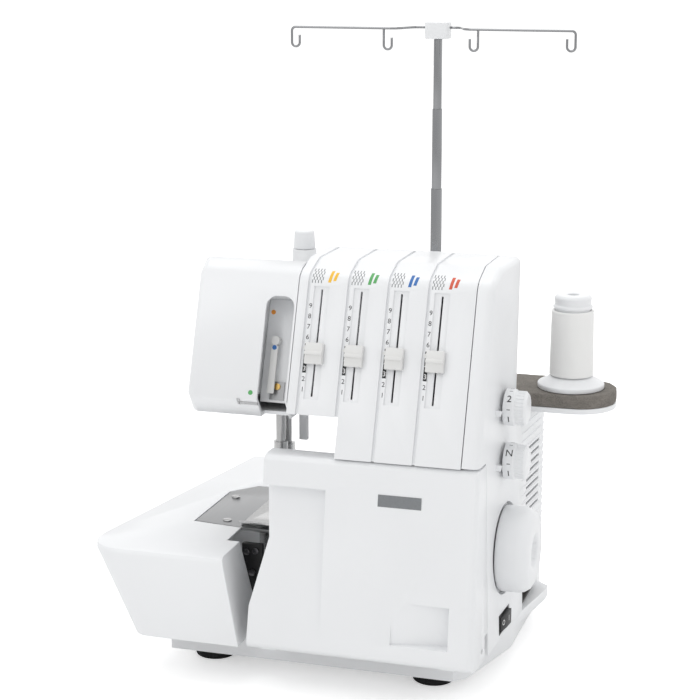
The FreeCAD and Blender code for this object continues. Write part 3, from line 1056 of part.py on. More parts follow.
def make_spool():
    """The thread spool on the right pin: moulded spool, thread core and wound outer layer."""
    seat = "stand_low + stand_thick + pad_thick + run_fit"
    x = pin_places()[3]
    node("thread_spool", lathe("thread_spool", "Z", (x, "mast_y", seat), [
        ("spool_bore", "0"), ("spool_base", "0"), ("spool_base", "spool_rim"), ("spool_base - 5", "spool_rim + 2.5"),
        ("spool_core + 3", "spool_neck"), ("spool_core", "spool_neck + 0.8"), ("spool_core", "wind_high + 1"),
        ("spool_cap + 0.8", "wind_high + 1.8"), ("spool_cap + 0.8", "wind_high + 3.5"),
        ("spool_cap - 0.6", "wind_high + 4.2"), ("spool_cap", "spool_height - 2"),
        ("spool_cap - 1.5", "spool_height"), ("spool_bore", "spool_height")]))
    node("thread_core", lathe("thread_core", "Z", (x, "mast_y", seat), [
        ("spool_core + run_fit", "wind_low"), ("wind_radius + wind_taper - 2 * thread_radius - run_fit", "wind_low"),
        ("wind_radius - 2 * thread_radius - run_fit", "wind_high"), ("spool_core + run_fit", "wind_high")]))
    node("thread_winding", make_winding())


def biarc(start, start_way, end, end_way):
    """Two arcs that leave a point and reach another along given directions."""
    chord = end.sub(start)
    ways = start_way.add(end_way)
    a = 2 * (1 - start_way.dot(end_way))
    b = chord.dot(ways)
    c = chord.dot(chord)
    reach = (-b + math.sqrt(b * b + a * c)) / a
    knee_a = start.add(start_way * reach)
    knee_b = end.sub(end_way * reach)
    middle = knee_a.add(knee_b) * 0.5

    def arc(p, knee, q):
        centre = p.add(q) * 0.5
        half = q.sub(p).Length / 2
        rise = knee.sub(centre)
        bend = math.atan2(rise.Length, half)
        return Part.Arc(p, centre.add(rise * (half * math.tan(bend / 2) / rise.Length)), q).toShape()
    return [arc(start, knee_a, middle), arc(middle, knee_b, end)]


def make_winding():
    """The outer layer of thread: one helical tube that narrows a little towards its top."""
    turns = size("wind_turns")
    low = size("wind_low") + 2 * size("thread_radius")
    rise = (size("wind_high") - size("wind_low") - 4 * size("thread_radius")) / turns
    base = size("wind_radius") + size("wind_taper") - size("thread_radius")
    taper = size("wind_taper") / turns

    def at(turn):
        angle = 2 * math.pi * turn
        radius = base - taper * turn
        return vec(radius * math.cos(angle), radius * math.sin(angle), low + rise * turn)

    def way(turn):
        step = 1e-5
        return at(turn + step).sub(at(turn - step)).normalize()
    edges = []
    quarters = int(4 * turns)
    for i in range(quarters):
        edges += biarc(at(i / 4), way(i / 4), at((i + 1) / 4), way((i + 1) / 4))
    path = Part.Wire(edges)
    profile = Part.Wire(Part.makeCircle(size("thread_radius"), at(0), way(0)))
    winding = doc.addObject("Part::Feature", "thread_winding")
    winding.Shape = path.makePipeShell([profile], True, False)
    seat = size("stand_low") + size("stand_thick") + size("pad_thick") + size("run_fit")
    winding.Placement = FreeCAD.Placement(
        vec(size("mast_x") + 1.5 * size("pin_pitch"), size("mast_y"), seat), FreeCAD.Rotation())
    samples = [at(i / 24) for i in range(int(24 * turns) + 1)]
    gap = min(samples[i].sub(samples[j]).Length for i in range(len(samples))
              for j in range(i + 16, min(i + 34, len(samples)))) - 2 * size("thread_radius")
    print("least gap between turns of the winding: %.2f mm" % gap)
    return winding


def make_mast():
    """Three telescopic tubes, the guide head and its bent wire guides."""
    foot = "stand_low"
    node("mast_lower", ring("mast_lower", "Z", ("mast_x", "mast_y", foot), "mast_step_one - " + foot,
                            "mast_one", "mast_one - tube_wall"))
    node("mast_middle", ring("mast_middle", "Z", ("mast_x", "mast_y", "mast_step_two - overlap_one"), "overlap_one",
                             "mast_two", "mast_two - tube_wall"))
    node("mast_upper", rod("mast_upper", "Z", ("mast_x", "mast_y", "mast_top - overlap_two"), "overlap_two",
                           "mast_three"))
    block = box("guide_block", ("mast_x - 0.5 * head_block", "mast_x + 0.5 * head_block"),
                ("mast_y - 0.5 * head_deep", "mast_y + 0.5 * head_deep"), ("head_z", "head_z + head_tall"))
    upright = vec(0, 0, 1)
    rounded = doc.addObject("Part::Fillet", "guide_block_round")
    doc.recompute()
    rounded.Base = block
    rounded.Edges = [(i, 2.5, 2.5) for i, e in enumerate(block.Shape.Edges, 1) if runs_along(e, upright)]
    socket = rod("guide_socket", "Z", ("mast_x", "mast_y", "head_z - 1"), "mast_top - head_z + 1 + slide_gap",
                 "mast_three + run_fit")
    node("guide_head", cut("guide_head", rounded, socket))
    node("guide_wires", make_guide_wires())


def tube_along(points, radius, bends):
    """A round wire along straight runs joined by tangent arcs, one bend radius for each corner."""
    edges = []
    last = points[0]
    for before, corner, after, bend in zip(points, points[1:], points[2:], bends):
        back = before.sub(corner).normalize()
        ahead = after.sub(corner).normalize()
        half = back.getAngle(ahead) / 2
        trim = bend / math.tan(half)
        middle = (back.add(ahead)).normalize()
        first, final = corner.add(back * trim), corner.add(ahead * trim)
        top = corner.add(middle * (bend / math.sin(half) - bend))
        edges += [Part.LineSegment(last, first).toShape(), Part.Arc(first, top, final).toShape()]
        last = final
    edges.append(Part.LineSegment(last, points[-1]).toShape())
    profile = Part.Wire(Part.makeCircle(radius, points[0], points[1].sub(points[0])))
    return Part.Wire(edges).makePipeShell([profile], True, False)


def make_guide_wires():
    """One bent wire each way from the head with a hook at its end, and a hook half way along it."""
    radius = size("wire_radius")
    centre = vec(size("mast_x"), size("mast_y"), size("wire_z"))
    front = size("wire_front") - size("mast_y")
    bend = size("wire_bend")
    wide = size("hook_width")
    turn = 0.95 * wide

    def hook(top, way):
        low = vec(0, 0, -size("hook_drop"))
        across = vec(-way * 2 * wide, 0, 0)
        return [top, top.add(low), top.add(low).add(across), top.add(low * 0.4).add(across)]
    wires = []
    for way in (-1, 1):
        start = vec(way * (size("head_block") / 2 + size("run_fit")), 0, 0)
        end = vec(way * size("guide_reach"), front, 0)
        route = [start, start.add(vec(way * bend, 0, 0)), start.add(vec(way * 2 * bend, front, 0))]
        route += hook(end, way)
        wires.append(tube_along([centre.add(p) for p in route], radius, [bend, bend, turn, turn, turn]))
        under = vec(way * size("pin_pitch") / 2, front, -radius - size("run_fit"))
        wires.append(tube_along([centre.add(p) for p in hook(under, way)], radius, [turn, turn]))
    guide = doc.addObject("Part::Feature", "guide_wires")
    guide.Shape = Part.makeCompound(wires)
    return guide


def write_parts():
    """Stops on any failed object, then writes one file for each sub-part."""
    doc.recompute()
    for obj in doc.Objects:
        if "Invalid" in obj.State or "Error" in obj.State:
            raise RuntimeError("%s failed: %s" % (obj.Label, obj.State))
    for obj in NODES:
        shape = obj.Shape
        if shape.isNull() or not shape.isValid() or not shape.Solids:
            raise RuntimeError("%s has no valid solid" % obj.Label)
        if any(s.Volume <= 0 for s in shape.Solids):
            raise RuntimeError("%s has an inside-out solid" % obj.Label)
    os.makedirs("parts", exist_ok=True)
    middle = floor_middle()
    for obj in NODES:
        shape = obj.Shape.copy()
        shape.translate(middle * -1)
        shape.exportStep("parts/%s.step" % obj.Label)
    print("%d sub-parts written, origin moved by %.3f, %.3f" % (len(NODES), middle.x, middle.y))


def floor_middle():
    """The point on the table under the middle of the whole machine."""
    whole = FreeCAD.BoundBox()
    for obj in NODES:
        whole.add(obj.Shape.optimalBoundingBox(False))
    return vec(whole.Center.x, whole.Center.y, 0)


make_base()
make_frame()
make_bushes()
make_drive()
make_upper_shell()
make_tension_units()
make_head()
make_rear_cover()
make_right_cover()
make_controls()
make_looper_cover()
make_cloth_plate()
make_stitch_plate()
make_needle_gear()
make_presser()
make_loopers()
make_motor_cover()
make_bed_cover()
make_spool_stand()
make_spool()
make_mast()
write_parts()
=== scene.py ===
import json
import math

import bmesh
import bpy
from bpy.props import FloatProperty, FloatVectorProperty, IntProperty, PointerProperty
from mathutils import Matrix, Vector
from mathutils.bvhtree import BVHTree


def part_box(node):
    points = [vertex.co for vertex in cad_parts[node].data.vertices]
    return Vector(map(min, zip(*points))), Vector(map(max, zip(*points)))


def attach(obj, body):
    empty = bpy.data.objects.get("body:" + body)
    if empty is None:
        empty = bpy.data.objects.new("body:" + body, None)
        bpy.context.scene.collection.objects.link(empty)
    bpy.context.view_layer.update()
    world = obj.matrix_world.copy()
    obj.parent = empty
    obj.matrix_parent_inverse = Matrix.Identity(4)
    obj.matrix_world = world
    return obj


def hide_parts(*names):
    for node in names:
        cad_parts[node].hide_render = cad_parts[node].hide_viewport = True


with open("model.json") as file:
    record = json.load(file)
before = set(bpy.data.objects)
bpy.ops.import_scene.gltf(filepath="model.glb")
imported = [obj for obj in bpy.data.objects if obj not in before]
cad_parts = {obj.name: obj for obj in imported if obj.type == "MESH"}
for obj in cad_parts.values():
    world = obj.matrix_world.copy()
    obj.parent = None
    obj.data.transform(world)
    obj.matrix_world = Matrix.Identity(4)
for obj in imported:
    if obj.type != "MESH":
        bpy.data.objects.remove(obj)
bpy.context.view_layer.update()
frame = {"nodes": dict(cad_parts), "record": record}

bl_info = {
    "name": "Overlock machine looks",
    "version": (1, 0, 0),
    "blender": (4, 5, 0),
    "location": "View3D > Sidebar > Overlock",
    "description": "Finishes, printed marks, thread and foam for the overlock sewing machine",
    "category": "Object",
}

MM = 0.001
BODY_OF = {node: body for body, nodes in frame["record"]["behaviour"]["bodies"].items()
           for node in nodes}

# The leaning upper face and the front cover meet at a seam, in the machine's own millimetres
FACE_LEAN = math.radians(19.6)
COVER_LEAN = math.radians(8.5)
SEAM_Y, SEAM_Z = -121.7, 171.0
PANEL_LEFT = -31.0
SLOT_CENTRES = (-14.1, 15.0, 44.1, 73.2)
SLIDER_REST = 72.0
WINDOW_FLOOR = -18.95

# How far the machine's own origin was moved in model.glb
housing_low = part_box("tension_housing")[0]
SHIFT = Vector((housing_low[0] / MM - PANEL_LEFT, housing_low[1] / MM - SEAM_Y, 0.0))

# The slanted right side: its top front corner, and how it widens backwards and downwards
SIDE_X, SIDE_FRONT, SIDE_TOP = 107.0, -114.0, 300.0
SIDE_BACKWARDS, SIDE_DOWNWARDS = 0.057, 0.0254

# Directions for flat drawings
RIGHT, BACK, UP = (1, 0, 0), (0, 1, 0), (0, 0, 1)
FACE_UP = (0, math.sin(FACE_LEAN), math.cos(FACE_LEAN))
FACE_OUT = Vector((0, -math.cos(FACE_LEAN), math.sin(FACE_LEAN)))
COVER_UP = (0, math.sin(COVER_LEAN), math.cos(COVER_LEAN))

# A CAD mesh is welded within a distance, its nearly flat edges dissolved and its corners rounded
WELD = 2e-6
FLAT_TURN = math.radians(0.6)
CORNER_TURN = math.radians(38)

# A font's size over the height of its figures, and where a drawing is dropped on a surface from
FONT_SIZE_PER_HEIGHT = 1.38
DROP_HEIGHT = 30 * MM
LAID_LIFT = 0.06


def at(x, y, z):
    """A point of the machine in scene metres."""
    return (Vector((x, y, z)) + SHIFT) * MM


def on_face(x, up, out=0.0):
    """A point on the leaning upper face: across, up the face from the seam, and out of it."""
    return at(x, SEAM_Y + up * math.sin(FACE_LEAN) - out * math.cos(FACE_LEAN),
              SEAM_Z + up * math.cos(FACE_LEAN) + out * math.sin(FACE_LEAN))


def on_cover(x, z, out):
    """A point on the lower front cover: across, at a height, and out of it."""
    y = SEAM_Y + (z - SEAM_Z) * math.tan(COVER_LEAN)
    return at(x, y - out * math.cos(COVER_LEAN), z - out * math.sin(COVER_LEAN))


def side_plane(y, z):
    """How far right the slanted side lies at a place."""
    return SIDE_X + SIDE_BACKWARDS * (y - SIDE_FRONT) + SIDE_DOWNWARDS * (SIDE_TOP - z)


def basis(right, up, origin):
    """A matrix that stands a flat drawing up at a place."""
    right, up = Vector(right).normalized(), Vector(up).normalized()
    out = right.cross(up)
    grid = Matrix((right, up, out)).transposed().to_4x4()
    grid.translation = origin
    return grid


def face_basis(x, up, out):
    """The matrix of a flat drawing on the leaning upper face."""
    return basis(RIGHT, FACE_UP, on_face(x, up, out))


def outline(*points):
    """A flat outline in metres, from points in millimetres."""
    return [(x * MM, y * MM) for x, y in points]


class FinishColours(bpy.types.PropertyGroup):
    shell: FloatVectorProperty(name="Covers", description="Moulded covers",
                               subtype="COLOR", size=3, default=(0.835, 0.845, 0.858))
    slider: FloatVectorProperty(name="Sliders", description="Tension sliders",
                                subtype="COLOR", size=3, default=(0.74, 0.74, 0.73))
    black: FloatVectorProperty(name="Black parts", description="Switch, inlet and gear bracket",
                               subtype="COLOR", size=3, default=(0.012, 0.012, 0.013))
    foam: FloatVectorProperty(name="Foam", description="Foam pad under the spools",
                              subtype="COLOR", size=3, default=(0.165, 0.152, 0.136))
    thread: FloatVectorProperty(name="Thread", description="Thread on the spool",
                                subtype="COLOR", size=3, default=(0.92, 0.92, 0.91))
    # This colour also paints the shade by the take-up lever
    ink: FloatVectorProperty(name="Ink", description="Printed numerals and lines",
                             subtype="COLOR", size=3, default=(0.016, 0.017, 0.019))


class TrimSizes(bpy.types.PropertyGroup):
    softness: FloatProperty(name="Edge softness", description="Factor on the width of every rounded edge",
                            default=1.0, min=0.0)
    numeral: FloatProperty(name="Numeral height", description="Height of the tension numerals",
                           default=3.5 * MM, unit="LENGTH")
    ink_proud: FloatProperty(name="Ink thickness", description="How far print stands off a face",
                             default=0.06 * MM, unit="LENGTH")
    knob_ribs: IntProperty(name="Knob ribs", description="Ribs round each dial", default=26, min=6)
    thread_turns: IntProperty(name="Thread turns", description="Turns in the outer layer of thread",
                              default=62, min=24)
    thread_radius: FloatProperty(name="Thread radius", description="Radius of the wound thread",
                                 default=0.44 * MM, unit="LENGTH")
    cover_ribs: IntProperty(name="Cover ribs", description="Level ribs round the motor cover's side",
                            default=19, min=1)
    rib_pitch: FloatProperty(name="Rib pitch", description="Height from one cover rib to the next",
                             default=6.1 * MM, unit="LENGTH")


class StudioSettings(bpy.types.PropertyGroup):
    lens: FloatProperty(name="Lens", description="Focal length in millimetres",
                        default=92.571, unit="CAMERA")
    azimuth: FloatProperty(name="Azimuth", description="How far round the camera stands",
                           default=math.radians(17), subtype="ANGLE")
    elevation: FloatProperty(name="Elevation", description="How far up the camera looks from",
                             default=math.radians(13), subtype="ANGLE")
    place: FloatVectorProperty(name="Camera", description="Camera position in machine millimetres",
                               size=3, default=(368.0, -1264.0, 525.0))


class Value:
    """A node's socket, which can be used in sums."""

    def __init__(self, graph, socket):
        self.graph = graph
        self.socket = socket

    def _sum(self, operation, first, second):
        return self.graph.node("ShaderNodeMath", {"operation": operation}, [first, second])

    def __add__(self, other):
        return self._sum("ADD", self, other)

    __radd__ = __add__

    def __sub__(self, other):
        return self._sum("SUBTRACT", self, other)

    def __rsub__(self, other):
        return self._sum("SUBTRACT", other, self)

    def __mul__(self, other):
        return self._sum("MULTIPLY", self, other)

    __rmul__ = __mul__

    def __gt__(self, other):
        return self._sum("GREATER_THAN", self, other)

    def above(self, low):
        return self._sum("MAXIMUM", self, low)


class Graph:
    """A tree of shader or geometry nodes that nodes are added to."""

    def __init__(self, tree):
        self.tree = tree

    def node(self, kind, settings, values, output=0):
        """Adds a node: its settings first, then its sockets by place or by name."""
        made = self.tree.nodes.new(kind)
        for field, setting in settings.items():
            setattr(made, field, setting)
        for key, value in (values.items() if isinstance(values, dict) else enumerate(values)):
            self.feed(made.inputs[key], value)
        return Value(self, made.outputs[output])

    def feed(self, socket, value):
        """Links a value, or each value of a list, to a socket, or sets the socket to a constant."""
        for source in value if isinstance(value, list) else [value]:
            if isinstance(source, Value):
                self.tree.links.new(source.socket, socket)
            else:
                socket.default_value = source


class Paint(Graph):
    """One procedural material, built node by node on the piece's own coordinates."""

    def __init__(self, name):
        self.material = bpy.data.materials.new(name)
        self.material.use_nodes = True
        super().__init__(self.material.node_tree)
        self.tree.nodes.clear()
        self.shader = self.tree.nodes.new("ShaderNodeBsdfPrincipled")
        end = self.tree.nodes.new("ShaderNodeOutputMaterial")
        self.tree.links.new(self.shader.outputs[0], end.inputs[0])
        self.here = self.node("ShaderNodeTexCoord", {}, [], "Object")

    def noise(self, scale, detail=3.0, stretch=(1.0, 1.0, 1.0)):
        spot = self.node("ShaderNodeMapping", {}, {"Vector": self.here, "Scale": stretch})
        return self.node("ShaderNodeTexNoise", {}, {"Vector": spot, "Scale": scale, "Detail": detail})

    def blend(self, mask, low, high):
        """A colour that goes from one to another with a mask."""
        return self.node("ShaderNodeMix", {"data_type": "RGBA"},
                         {0: mask, 6: (*low, 1.0), 7: (*high, 1.0)}, 2)

    def bump(self, height, depth, strength):
        self.feed(self.shader.inputs["Normal"], self.node(
            "ShaderNodeBump", {}, {"Strength": strength, "Distance": depth, "Height": height}))

    def set(self, **values):
        """Feeds the shader's sockets, named with underscores for spaces."""
        for name, value in values.items():
            self.feed(self.shader.inputs[name.replace("_", " ")], value)


def shade(colour, factor):
    """A lighter or darker tone of a colour."""
    return tuple(min(1.0, c * factor) for c in colour)


def moulded(name, colour, rough, grain=900.0, depth=0.04 * MM, gloss=0.45):
    """Moulded plastic: a faint spark-eroded grain and slightly uneven gloss."""
    paint = Paint(name)
    cloud = paint.noise(14.0, detail=2.0)
    fine = paint.noise(grain, detail=2.0)
    paint.set(Base_Color=paint.blend(cloud, shade(colour, 0.97), shade(colour, 1.02)),
              Roughness=rough - 0.05 + 0.1 * cloud + 0.04 * fine, Specular_IOR_Level=gloss)
    paint.bump(fine, depth, strength=0.35)
    return paint.material


def turned_metal(name, colour, rough, along=(1.0, 1.0, 1.0), grain=220.0, depth=0.03 * MM):
    """Bare metal with fine machining lines in one direction."""
    paint = Paint(name)
    lines = paint.noise(grain, stretch=along)
    stain = paint.noise(25.0)
    paint.set(Base_Color=paint.blend(stain, shade(colour, 0.86), colour), Metallic=1.0,
              Roughness=rough - 0.06 + 0.1 * lines + 0.06 * stain)
    paint.bump(lines, depth, strength=0.4)
    return paint.material


def foam_rubber(colour):
    """Open-cell foam: dark pores in a lighter skin."""
    paint = Paint("foam_rubber")
    cells = paint.node("ShaderNodeTexVoronoi", {}, {"Vector": paint.here, "Scale": 1300.0})
    cloud = paint.noise(160.0, detail=5.0)
    pores = cells > 0.45
    skin = pores * 0.35 + 0.75 * cloud
    paint.set(Base_Color=paint.blend(skin, shade(colour, 0.6), shade(colour, 1.6)),
              Roughness=0.92 + 0.06 * cloud)
    paint.bump(cells + 0.6 * cloud, 0.5 * MM, strength=0.9)
    return paint.material


def spun_thread(colour):
    """Two-ply thread: slanted twist lines and a soft nap."""
    paint = Paint("spun_thread")
    spot = paint.node("ShaderNodeMapping", {}, {"Vector": paint.here, "Rotation": (0.0, 0.5, 0.0)})
    twist = paint.node("ShaderNodeTexWave", {}, {"Vector": spot, "Scale": 420.0, "Distortion": 2.0}, 1)
    nap = paint.noise(1500.0)
    paint.set(Base_Color=paint.blend(0.6 * twist + 0.4 * nap, shade(colour, 0.93), shade(colour, 1.04)),
              Roughness=0.66 + 0.18 * nap, Sheen_Weight=0.25)
    paint.bump(twist + nap, 0.08 * MM, strength=0.6)
    return paint.material


def printed(name, colour):
    """Flat screen print with slightly uneven cover."""
    paint = Paint(name)
    cover = paint.noise(700.0, detail=2.0)
    paint.set(Base_Color=paint.blend(cover, shade(colour, 0.9), shade(colour, 1.12)),
              Roughness=0.5 + 0.1 * cover)
    return paint.material


FINISH = {}


def make_finishes():
    """Fills the table of finishes from the colours in the panel."""
    tone = bpy.context.scene.overlock_colours
    upright, crosswise = (1.0, 1.0, 0.1), (1.0, 0.04, 1.0)
    FINISH.update({
        "shell": moulded("shell_plastic", tone.shell, 0.30),
        "knob": moulded("knob_plastic", shade(tone.shell, 0.99), 0.34, grain=1200.0),
        "slider": moulded("slider_plastic", tone.slider, 0.36, grain=1200.0),
        "black": moulded("black_plastic", tone.black, 0.36, grain=1100.0, gloss=0.25),
        "bracket": moulded("black_enamel", shade(tone.black, 1.3), 0.36, 500.0, 0.05 * MM, 0.3),
        "rubber": moulded("foot_rubber", (0.02, 0.02, 0.021), 0.75, 700.0, 0.1 * MM, 0.2),
        "casting": turned_metal("cast_alloy", (0.5, 0.51, 0.52), 0.5, grain=160.0, depth=0.1 * MM),
        "plate": turned_metal("plate_steel", (0.385, 0.388, 0.395), 0.3, crosswise, 500.0),
        "steel": turned_metal("polished_steel", (0.6, 0.6, 0.6), 0.2, upright, 400.0, 0.01 * MM),
        # A darker tint than bare chrome: its own colour plus painted dark reflections
        "chrome": turned_metal("bright_chrome", (0.34, 0.345, 0.355), 0.12, upright, 150.0, 0.004 * MM),
        "bronze": turned_metal("bush_bronze", (0.45, 0.29, 0.13), 0.35),
        "dark_steel": turned_metal("blackened_steel", (0.1, 0.1, 0.105), 0.24),
        "gold": turned_metal("contact_brass", (0.72, 0.48, 0.16), 0.25),
        "foam": foam_rubber(tone.foam),
        "thread": spun_thread(tone.thread),
        # The same dark print finish also paints the shade by the take-up lever
        "ink": printed("dark_ink", tone.ink),
        "grey_ink": printed("grey_ink", (0.2, 0.21, 0.22)),
        "light_ink": printed("white_ink", (0.85, 0.85, 0.85)),
        "yellow": printed("yellow_mark", (0.85, 0.50, 0.05)),
        "green": printed("green_mark", (0.10, 0.38, 0.12)),
        "blue": printed("blue_mark", (0.04, 0.16, 0.45)),
        "red": printed("red_mark", (0.62, 0.10, 0.05)),
        "orange": printed("orange_mark", (0.80, 0.30, 0.04)),
    })


def coat(mesh, finish):
    """Gives a mesh one finish all over."""
    mesh.materials.clear()
    mesh.materials.append(FINISH[finish])


def placed(name, data):
    """A new object in the scene."""
    thing = bpy.data.objects.new(name, data)
    bpy.context.scene.collection.objects.link(thing)
    return thing


def show(name, mesh, body, finish):
    """Puts a finished mesh in the scene on a body."""
    coat(mesh, finish)
    piece = placed(name, mesh)
    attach(piece, body)
    return piece


def smooth(mesh, degrees):
    """Smooth shading with creases at the real corners."""
    for face in mesh.polygons:
        face.use_smooth = True
    mesh.set_sharp_from_angle(angle=math.radians(degrees))


def evaluated(piece):
    """The mesh a piece has after its modifiers."""
    graph = bpy.context.evaluated_depsgraph_get()
    return bpy.data.meshes.new_from_object(piece.evaluated_get(graph))


def settle(piece):
    """Replaces a piece's mesh with the one after its modifiers, and clears them."""
    mesh, old = evaluated(piece), piece.data
    piece.modifiers.clear()
    piece.data = mesh
    bpy.data.meshes.remove(old)


def dressed(node, finish, edge, steps=2, recolour=None):
    """A softened copy of a CAD node: welded, and its corners rounded by an edge in millimetres.

    recolour holds a second finish and a test of the corners of the faces that take it.
    """
    edge *= MM * bpy.context.scene.overlock_sizes.softness
    shape = bmesh.new()
    shape.from_mesh(frame["nodes"][node].data)
    bmesh.ops.remove_doubles(shape, verts=shape.verts, dist=WELD)
    if edge:
        bmesh.ops.dissolve_limit(shape, angle_limit=FLAT_TURN, verts=shape.verts, edges=shape.edges)
    mesh = bpy.data.meshes.new(node + "_form")
    shape.to_mesh(mesh)
    shape.free()
    coat(mesh, finish)
    piece = placed(node + "_form", mesh)
    if edge:
        round_over = piece.modifiers.new("round_over", "BEVEL")
        round_over.width = edge
        round_over.segments = steps
        round_over.limit_method = "ANGLE"
        round_over.angle_limit = CORNER_TURN
        round_over.use_clamp_overlap = True
        settle(piece)
    mesh = piece.data
    smooth(mesh, degrees=32)
    if recolour:
        other, wanted = recolour
        mesh.materials.append(FINISH[other])
        for face in mesh.polygons:
            if all(wanted(mesh.vertices[corner].co) for corner in face.vertices):
                face.material_index = 1
    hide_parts(node)
    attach(piece, BODY_OF[node])
    return piece


class Drawing:
    """Flat print and small raised trim gathered into one mesh."""

    def __init__(self, proud):
        self.shape = bmesh.new()
        self.proud = proud

    def add(self, mesh, grid):
        mesh.transform(grid)
        self.shape.from_mesh(mesh)
        bpy.data.meshes.remove(mesh)

    def text(self, words, height, grid):
        """Words in the plain font, centred."""
        curve = bpy.data.curves.new("print", "FONT")
        curve.body = words
        curve.size = height * FONT_SIZE_PER_HEIGHT
        curve.align_x = "CENTER"
        curve.align_y = "CENTER"
        curve.extrude = self.proud / 2
        curve.resolution_u = 3
        maker = placed("print", curve)
        mesh = evaluated(maker)
        bpy.data.objects.remove(maker)
        bpy.data.curves.remove(curve)
        self.add(mesh, grid)

    def polygon(self, points, grid):
        """A flat plate with the given outline, which runs anticlockwise."""
        count = len(points)
        corners = [(x, y, z) for z in (-self.proud / 2, self.proud / 2) for x, y in points]
        under, over = tuple(reversed(range(count))), tuple(range(count, 2 * count))
        sides = [(i, (i + 1) % count, (i + 1) % count + count, i + count) for i in range(count)]
        mesh = bpy.data.meshes.new("plate")
        mesh.from_pydata(corners, [], [under, over, *sides])
        self.add(mesh, grid)

    def bar(self, width, height, grid):
        self.polygon([(-width / 2, -height / 2), (width / 2, -height / 2),
                      (width / 2, height / 2), (-width / 2, height / 2)], grid)

    def dot(self, radius, grid):
        sides = 28
        turns = [2 * math.pi * i / sides for i in range(sides)]
        self.polygon([(radius * math.cos(turn), radius * math.sin(turn)) for turn in turns], grid)

    def lay_on(self, node, cuts=0):
        """Drops a drawing made on the flat upper face onto a node that curves away from it."""
        mesh = frame["nodes"][node].data
        surface = BVHTree.FromPolygons([v.co for v in mesh.vertices],
                                       [tuple(f.vertices) for f in mesh.polygons])
        if cuts:
            bmesh.ops.subdivide_edges(self.shape, edges=self.shape.edges[:], cuts=cuts,
                                      use_grid_fill=True)
        flat = on_face(0, 0)
        for vertex in self.shape.verts:
            height = (vertex.co - flat).dot(FACE_OUT)
            hit = surface.ray_cast(vertex.co + FACE_OUT * DROP_HEIGHT, -FACE_OUT)[0]
            if hit is not None:
                vertex.co = hit + FACE_OUT * height

    def done(self, name, body, finish, slot):
        """Shows the drawing as one piece."""
        mesh = bpy.data.meshes.new(name)
        bmesh.ops.remove_doubles(self.shape, verts=self.shape.verts, dist=1e-7)
        self.shape.to_mesh(mesh)
        self.shape.free()
        smooth(mesh, degrees=30)
        show(name, mesh, body, finish)


class Tree(Graph):
    """A small geometry tree with named sizes, used once and turned into a plain mesh."""

    def __init__(self, name, **sizes):
        self.name = name
        super().__init__(bpy.data.node_groups.new(name, "GeometryNodeTree"))
        ends = self.tree.interface
        ends.new_socket("Geometry", in_out="OUTPUT", socket_type="NodeSocketGeometry")
        self.values = {}
        for label, value in sizes.items():
            kind = "NodeSocketInt" if isinstance(value, int) else "NodeSocketFloat"
            socket = ends.new_socket(label, in_out="INPUT", socket_type=kind)
            self.values[socket.identifier] = value
        self.sizes = self.tree.nodes.new("NodeGroupInput")
        self.end = self.tree.nodes.new("NodeGroupOutput")

    def size(self, label):
        return Value(self, self.sizes.outputs[label])

    def round_profile(self, label, sides):
        """A circle with a named radius, to sweep along a path."""
        return self.node("GeometryNodeCurvePrimitiveCircle", {"mode": "RADIUS"},
                         {"Resolution": sides, "Radius": self.size(label)})

    def swept(self, path, profile):
        return self.node("GeometryNodeCurveToMesh", {},
                         {"Curve": path, "Profile Curve": profile, "Fill Caps": True})

    def done(self, geometry, body, finish, slot, crease):
        """Grows the tree once and shows its plain mesh as one piece."""
        real = self.node("GeometryNodeRealizeInstances", {}, {"Geometry": geometry})
        self.feed(self.end.inputs[0], real)
        holder = placed(self.name, bpy.data.meshes.new(self.name))
        grow = holder.modifiers.new("grow", "NODES")
        grow.node_group = self.tree
        for identifier, value in self.values.items():
            grow[identifier] = value
        settle(holder)
        mesh = holder.data
        bpy.data.objects.remove(holder)
        smooth(mesh, degrees=crease)
        return show(self.name, mesh, body, finish)


class OVERLOCK_OT_finishes(bpy.types.Operator):
    """Makes the finishes and gives the hidden machinery its own"""
    bl_idname = "overlock.finishes"
    bl_label = "Finishes"

    def execute(self, context):
        make_finishes()
        plain = {
            "casting": ["machine_frame"], "bronze": ["shaft_bushes"], "rubber": ["drive_belt"],
            "steel": ["main_shaft", "needle_rocker", "needles", "looper_cover_hinge", "upper_looper",
                      "lower_looper", "lower_knife", "tension_units", "driven_pulley", "motor_pulley",
                      "main_feed_dog", "differential_feed_dog"],
            "bracket": ["motor"], "shell": ["column_cover"],
        }
        for finish, nodes in plain.items():
            for node in nodes:
                coat(frame["nodes"][node].data, finish)
        return {"FINISHED"}


class OVERLOCK_OT_shells(bpy.types.Operator):
    """Softens the moulded covers, the tray and its feet, the spool stand and the guide head"""
    bl_idname = "overlock.shells"
    bl_label = "Covers"

    def execute(self, context):
        # The face cover keeps its own edges, because rounding them closes its window
        for node, edge in (("tension_housing", 0.9), ("face_cover", 0.0), ("rear_cover", 0.6),
                           ("right_cover", 1.2), ("looper_cover", 1.3), ("cloth_plate", 0.9),
                           ("motor_cover", 1.5), ("bed_cover", 0.8), ("base_tray", 1.2),
                           ("spool_stand", 1.0), ("guide_head", 0.8)):
            dressed(node, "shell", edge, steps=3)
        dressed("rubber_feet", "rubber", 1.2, steps=3)
        return {"FINISHED"}


